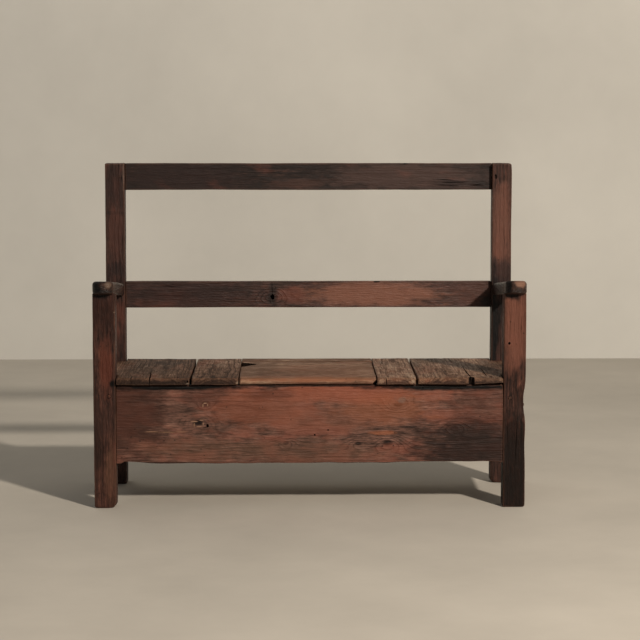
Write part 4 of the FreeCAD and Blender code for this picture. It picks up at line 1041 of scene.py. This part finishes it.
def rustedIron(name):
    # hand-made iron: nearly black scale with dull brown rust, so it hardly shines
    material, tree = newMaterial(name)
    place = addNode(tree, "ShaderNodeTexCoord", output="Object")
    rust = addNode(tree, "ShaderNodeTexNoise", {"Vector": place, "Scale": 180.0, "Detail": 4.0})
    amount = addNode(tree, "ShaderNodeMapRange", {"Value": rust, "From Min": 0.42, "From Max": 0.6},
                     interpolation_type="SMOOTHSTEP")
    shade = addNode(tree, "ShaderNodeMix", {0: amount, 6: colour("#241f1d"), 7: colour("#4a2c1e")}, output=2,
                    data_type="RGBA")
    metal = addNode(tree, "ShaderNodeMath", {0: amount, 1: -0.7, 2: 0.8}, operation="MULTIPLY_ADD")
    relief = addNode(tree, "ShaderNodeBump", {"Height": rust, "Strength": 0.4, "Distance": 0.0006})
    surface = addNode(tree, "ShaderNodeBsdfPrincipled",
                      {"Base Color": shade, "Metallic": metal, "Roughness": 0.62, "Normal": relief})
    addNode(tree, "ShaderNodeOutputMaterial", {"Surface": surface}, output=None)
    return material


fastenerFinish = {
    "iron": rustedIron("IronForgedRusted"),
    "peg": agedWood("OakPegEndGrain", dict(
        waxedPine, grain="y", seed=95, rings=0.1, tones=("#1d130f", "#2c1d17", "#3f2a20", "#553a2c"),
        rubbed=0.0, specks=0.0))}
for name, group in fasteners.items():
    places, headings, sizes = [], [], []
    for node, way in group["nodes"].items():
        for low, high in solidsOf(node):
            centre, extent = (low + high) / 2, high - low
            longest = int(np.argmax(extent))
            if way == "outwards":
                heading = np.array((math.copysign(1.0, centre[0]), 0.0, 0.0))
            elif way == "inwards":
                heading = np.array((0.0, math.copysign(1.0, boxMiddle - centre[1]), 0.0))
            else:
                heading = np.array(way, float)
            places.append(centre + heading * (extent[longest] / 2 - headDepth))
            headings.append(heading)
            girth = group.get("girth", sorted(extent)[0] / 2)
            sizes.append((girth / 1000.0, girth / 1000.0, extent[longest] / 1000.0))
    mesh = meshOf(name, np.array(places), [])
    for key, values in (("heading", headings), ("size", sizes)):
        field = mesh.attributes.new(key, "FLOAT_VECTOR", "POINT")
        field.data.foreach_set("vector", np.array(values, np.float32).ravel())
    piece = linked(name, mesh)
    driven = piece.modifiers.new("driven", "NODES")
    driven.node_group = drivenIn
    setInputs(driven, {
        "Template": group["template"], "Turn Seed": group["seed"], "Hammer Marks": group["marks"],
        "Finish": fastenerFinish[group["finish"]]})
    settle(piece)
    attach(piece, group["body"])
    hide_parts(*group["nodes"])
for template in (pegTemplate, nailTemplate, rodTemplate):
    bpy.data.objects.remove(template)
print("pegs, nails and pins driven")

# Room: plain pale floor and wall, soft key from the upper right front
studio = {
    "floor": "#c4beb3", "wall": "#d8d6cf", "wallDepth": 3380.0, "world": 0.21, "worldColour": "#f2efec",
    "background": "#b9b2a6",
    "lamps": {  # watts, colour, size in metres, place
        "key": (690.0, "#fff3e4", 0.5, (3.97, -6.08, 4.37)),
        "rearFill": (12.0, "#f4f1ec", 2.0, (-2.2, 2.8, 3.2))}}


def paleGround(name, hexText, scale):
    # limewashed plaster or cement: matt, faintly clouded, and open to the eye from behind
    material, tree = newMaterial(name)
    place = addNode(tree, "ShaderNodeTexCoord", output="Object")
    cloud = addNode(tree, "ShaderNodeTexNoise",
                    {"Vector": place, "Scale": scale, "Detail": 5.0, "Roughness": 0.6})
    shade = addNode(tree, "ShaderNodeMapRange",
                    {"Value": cloud, "From Min": 0.3, "From Max": 0.7, "To Min": 0.0, "To Max": 1.0})
    base = colour(hexText)
    darker = [c * 0.86 for c in base[:3]] + [1.0]
    mixed = addNode(tree, "ShaderNodeMix", {0: shade, 6: darker, 7: base}, output=2, data_type="RGBA")
    surface = addNode(tree, "ShaderNodeBsdfPrincipled",
                      {"Base Color": mixed, "Roughness": 0.8, "Specular IOR Level": 0.2})
    behind = addNode(tree, "ShaderNodeNewGeometry", output="Backfacing")
    through = addNode(tree, "ShaderNodeBsdfTransparent")
    surface = addNode(tree, "ShaderNodeMixShader", {0: behind, 1: surface, 2: through})
    addNode(tree, "ShaderNodeOutputMaterial", {"Surface": surface}, output=None)
    return material


wallY = studio["wallDepth"] + frontFace
reach, tall = 9000, 6000
for name, corners, hexText, scale in (
        ("floor", [(-reach, -reach, 0), (reach, -reach, 0), (reach, reach, 0), (-reach, reach, 0)],
         studio["floor"], 1.7),
        ("wall", [(-reach, wallY, 0), (reach, wallY, 0), (reach, wallY, tall), (-reach, wallY, tall)],
         studio["wall"], 0.9)):
    ground = linked(name, meshOf(name, corners, [(0, 1, 2, 3)]))
    ground.data.materials.append(paleGround("Plain" + name.title(), hexText, scale))

# Even daylight for the object, a pale backdrop for the eye
world = bpy.data.worlds.new("softDaylight")
world.use_nodes = True
tree = world.node_tree
tree.nodes.clear()
daylight = addNode(tree, "ShaderNodeBackground",
                   {"Color": colour(studio["worldColour"]), "Strength": studio["world"]})
backdrop = addNode(tree, "ShaderNodeBackground", {"Color": colour(studio["background"]), "Strength": 1.0})
seen = addNode(tree, "ShaderNodeLightPath", output="Is Camera Ray")
sky = addNode(tree, "ShaderNodeMixShader", {0: seen, 1: daylight, 2: backdrop})
addNode(tree, "ShaderNodeOutputWorld", {"Surface": sky}, output=None)
bpy.context.scene.world = world
aim = Vector((0.0, 0.0, 0.5))
for name, (watts, hexText, size, place) in studio["lamps"].items():
    lamp = bpy.data.lights.new(name, "AREA")
    lamp.shape, lamp.size, lamp.energy = "DISK", size, watts
    lamp.color = colour(hexText)[:3]
    lit = linked(name, lamp)
    lit.location = place
    lit.rotation_euler = (aim - lit.location).to_track_quat("-Z", "Y").to_euler()

view = {"place": (-0.0591, -6.4665, 1.3360), "down": 5.082, "right": 0.842, "lens": 109.78, "shift": -0.08}
lens = bpy.data.cameras.new("camera")
lens.lens, lens.sensor_width, lens.shift_y = view["lens"], 36.0, view["shift"]
camera = linked("camera", lens)
camera.location = view["place"]
camera.rotation_euler = (math.radians(90.0 - view["down"]), 0.0, math.radians(-view["right"]))
bpy.context.scene.camera = camera
bpy.context.scene.view_settings.view_transform = "Standard"
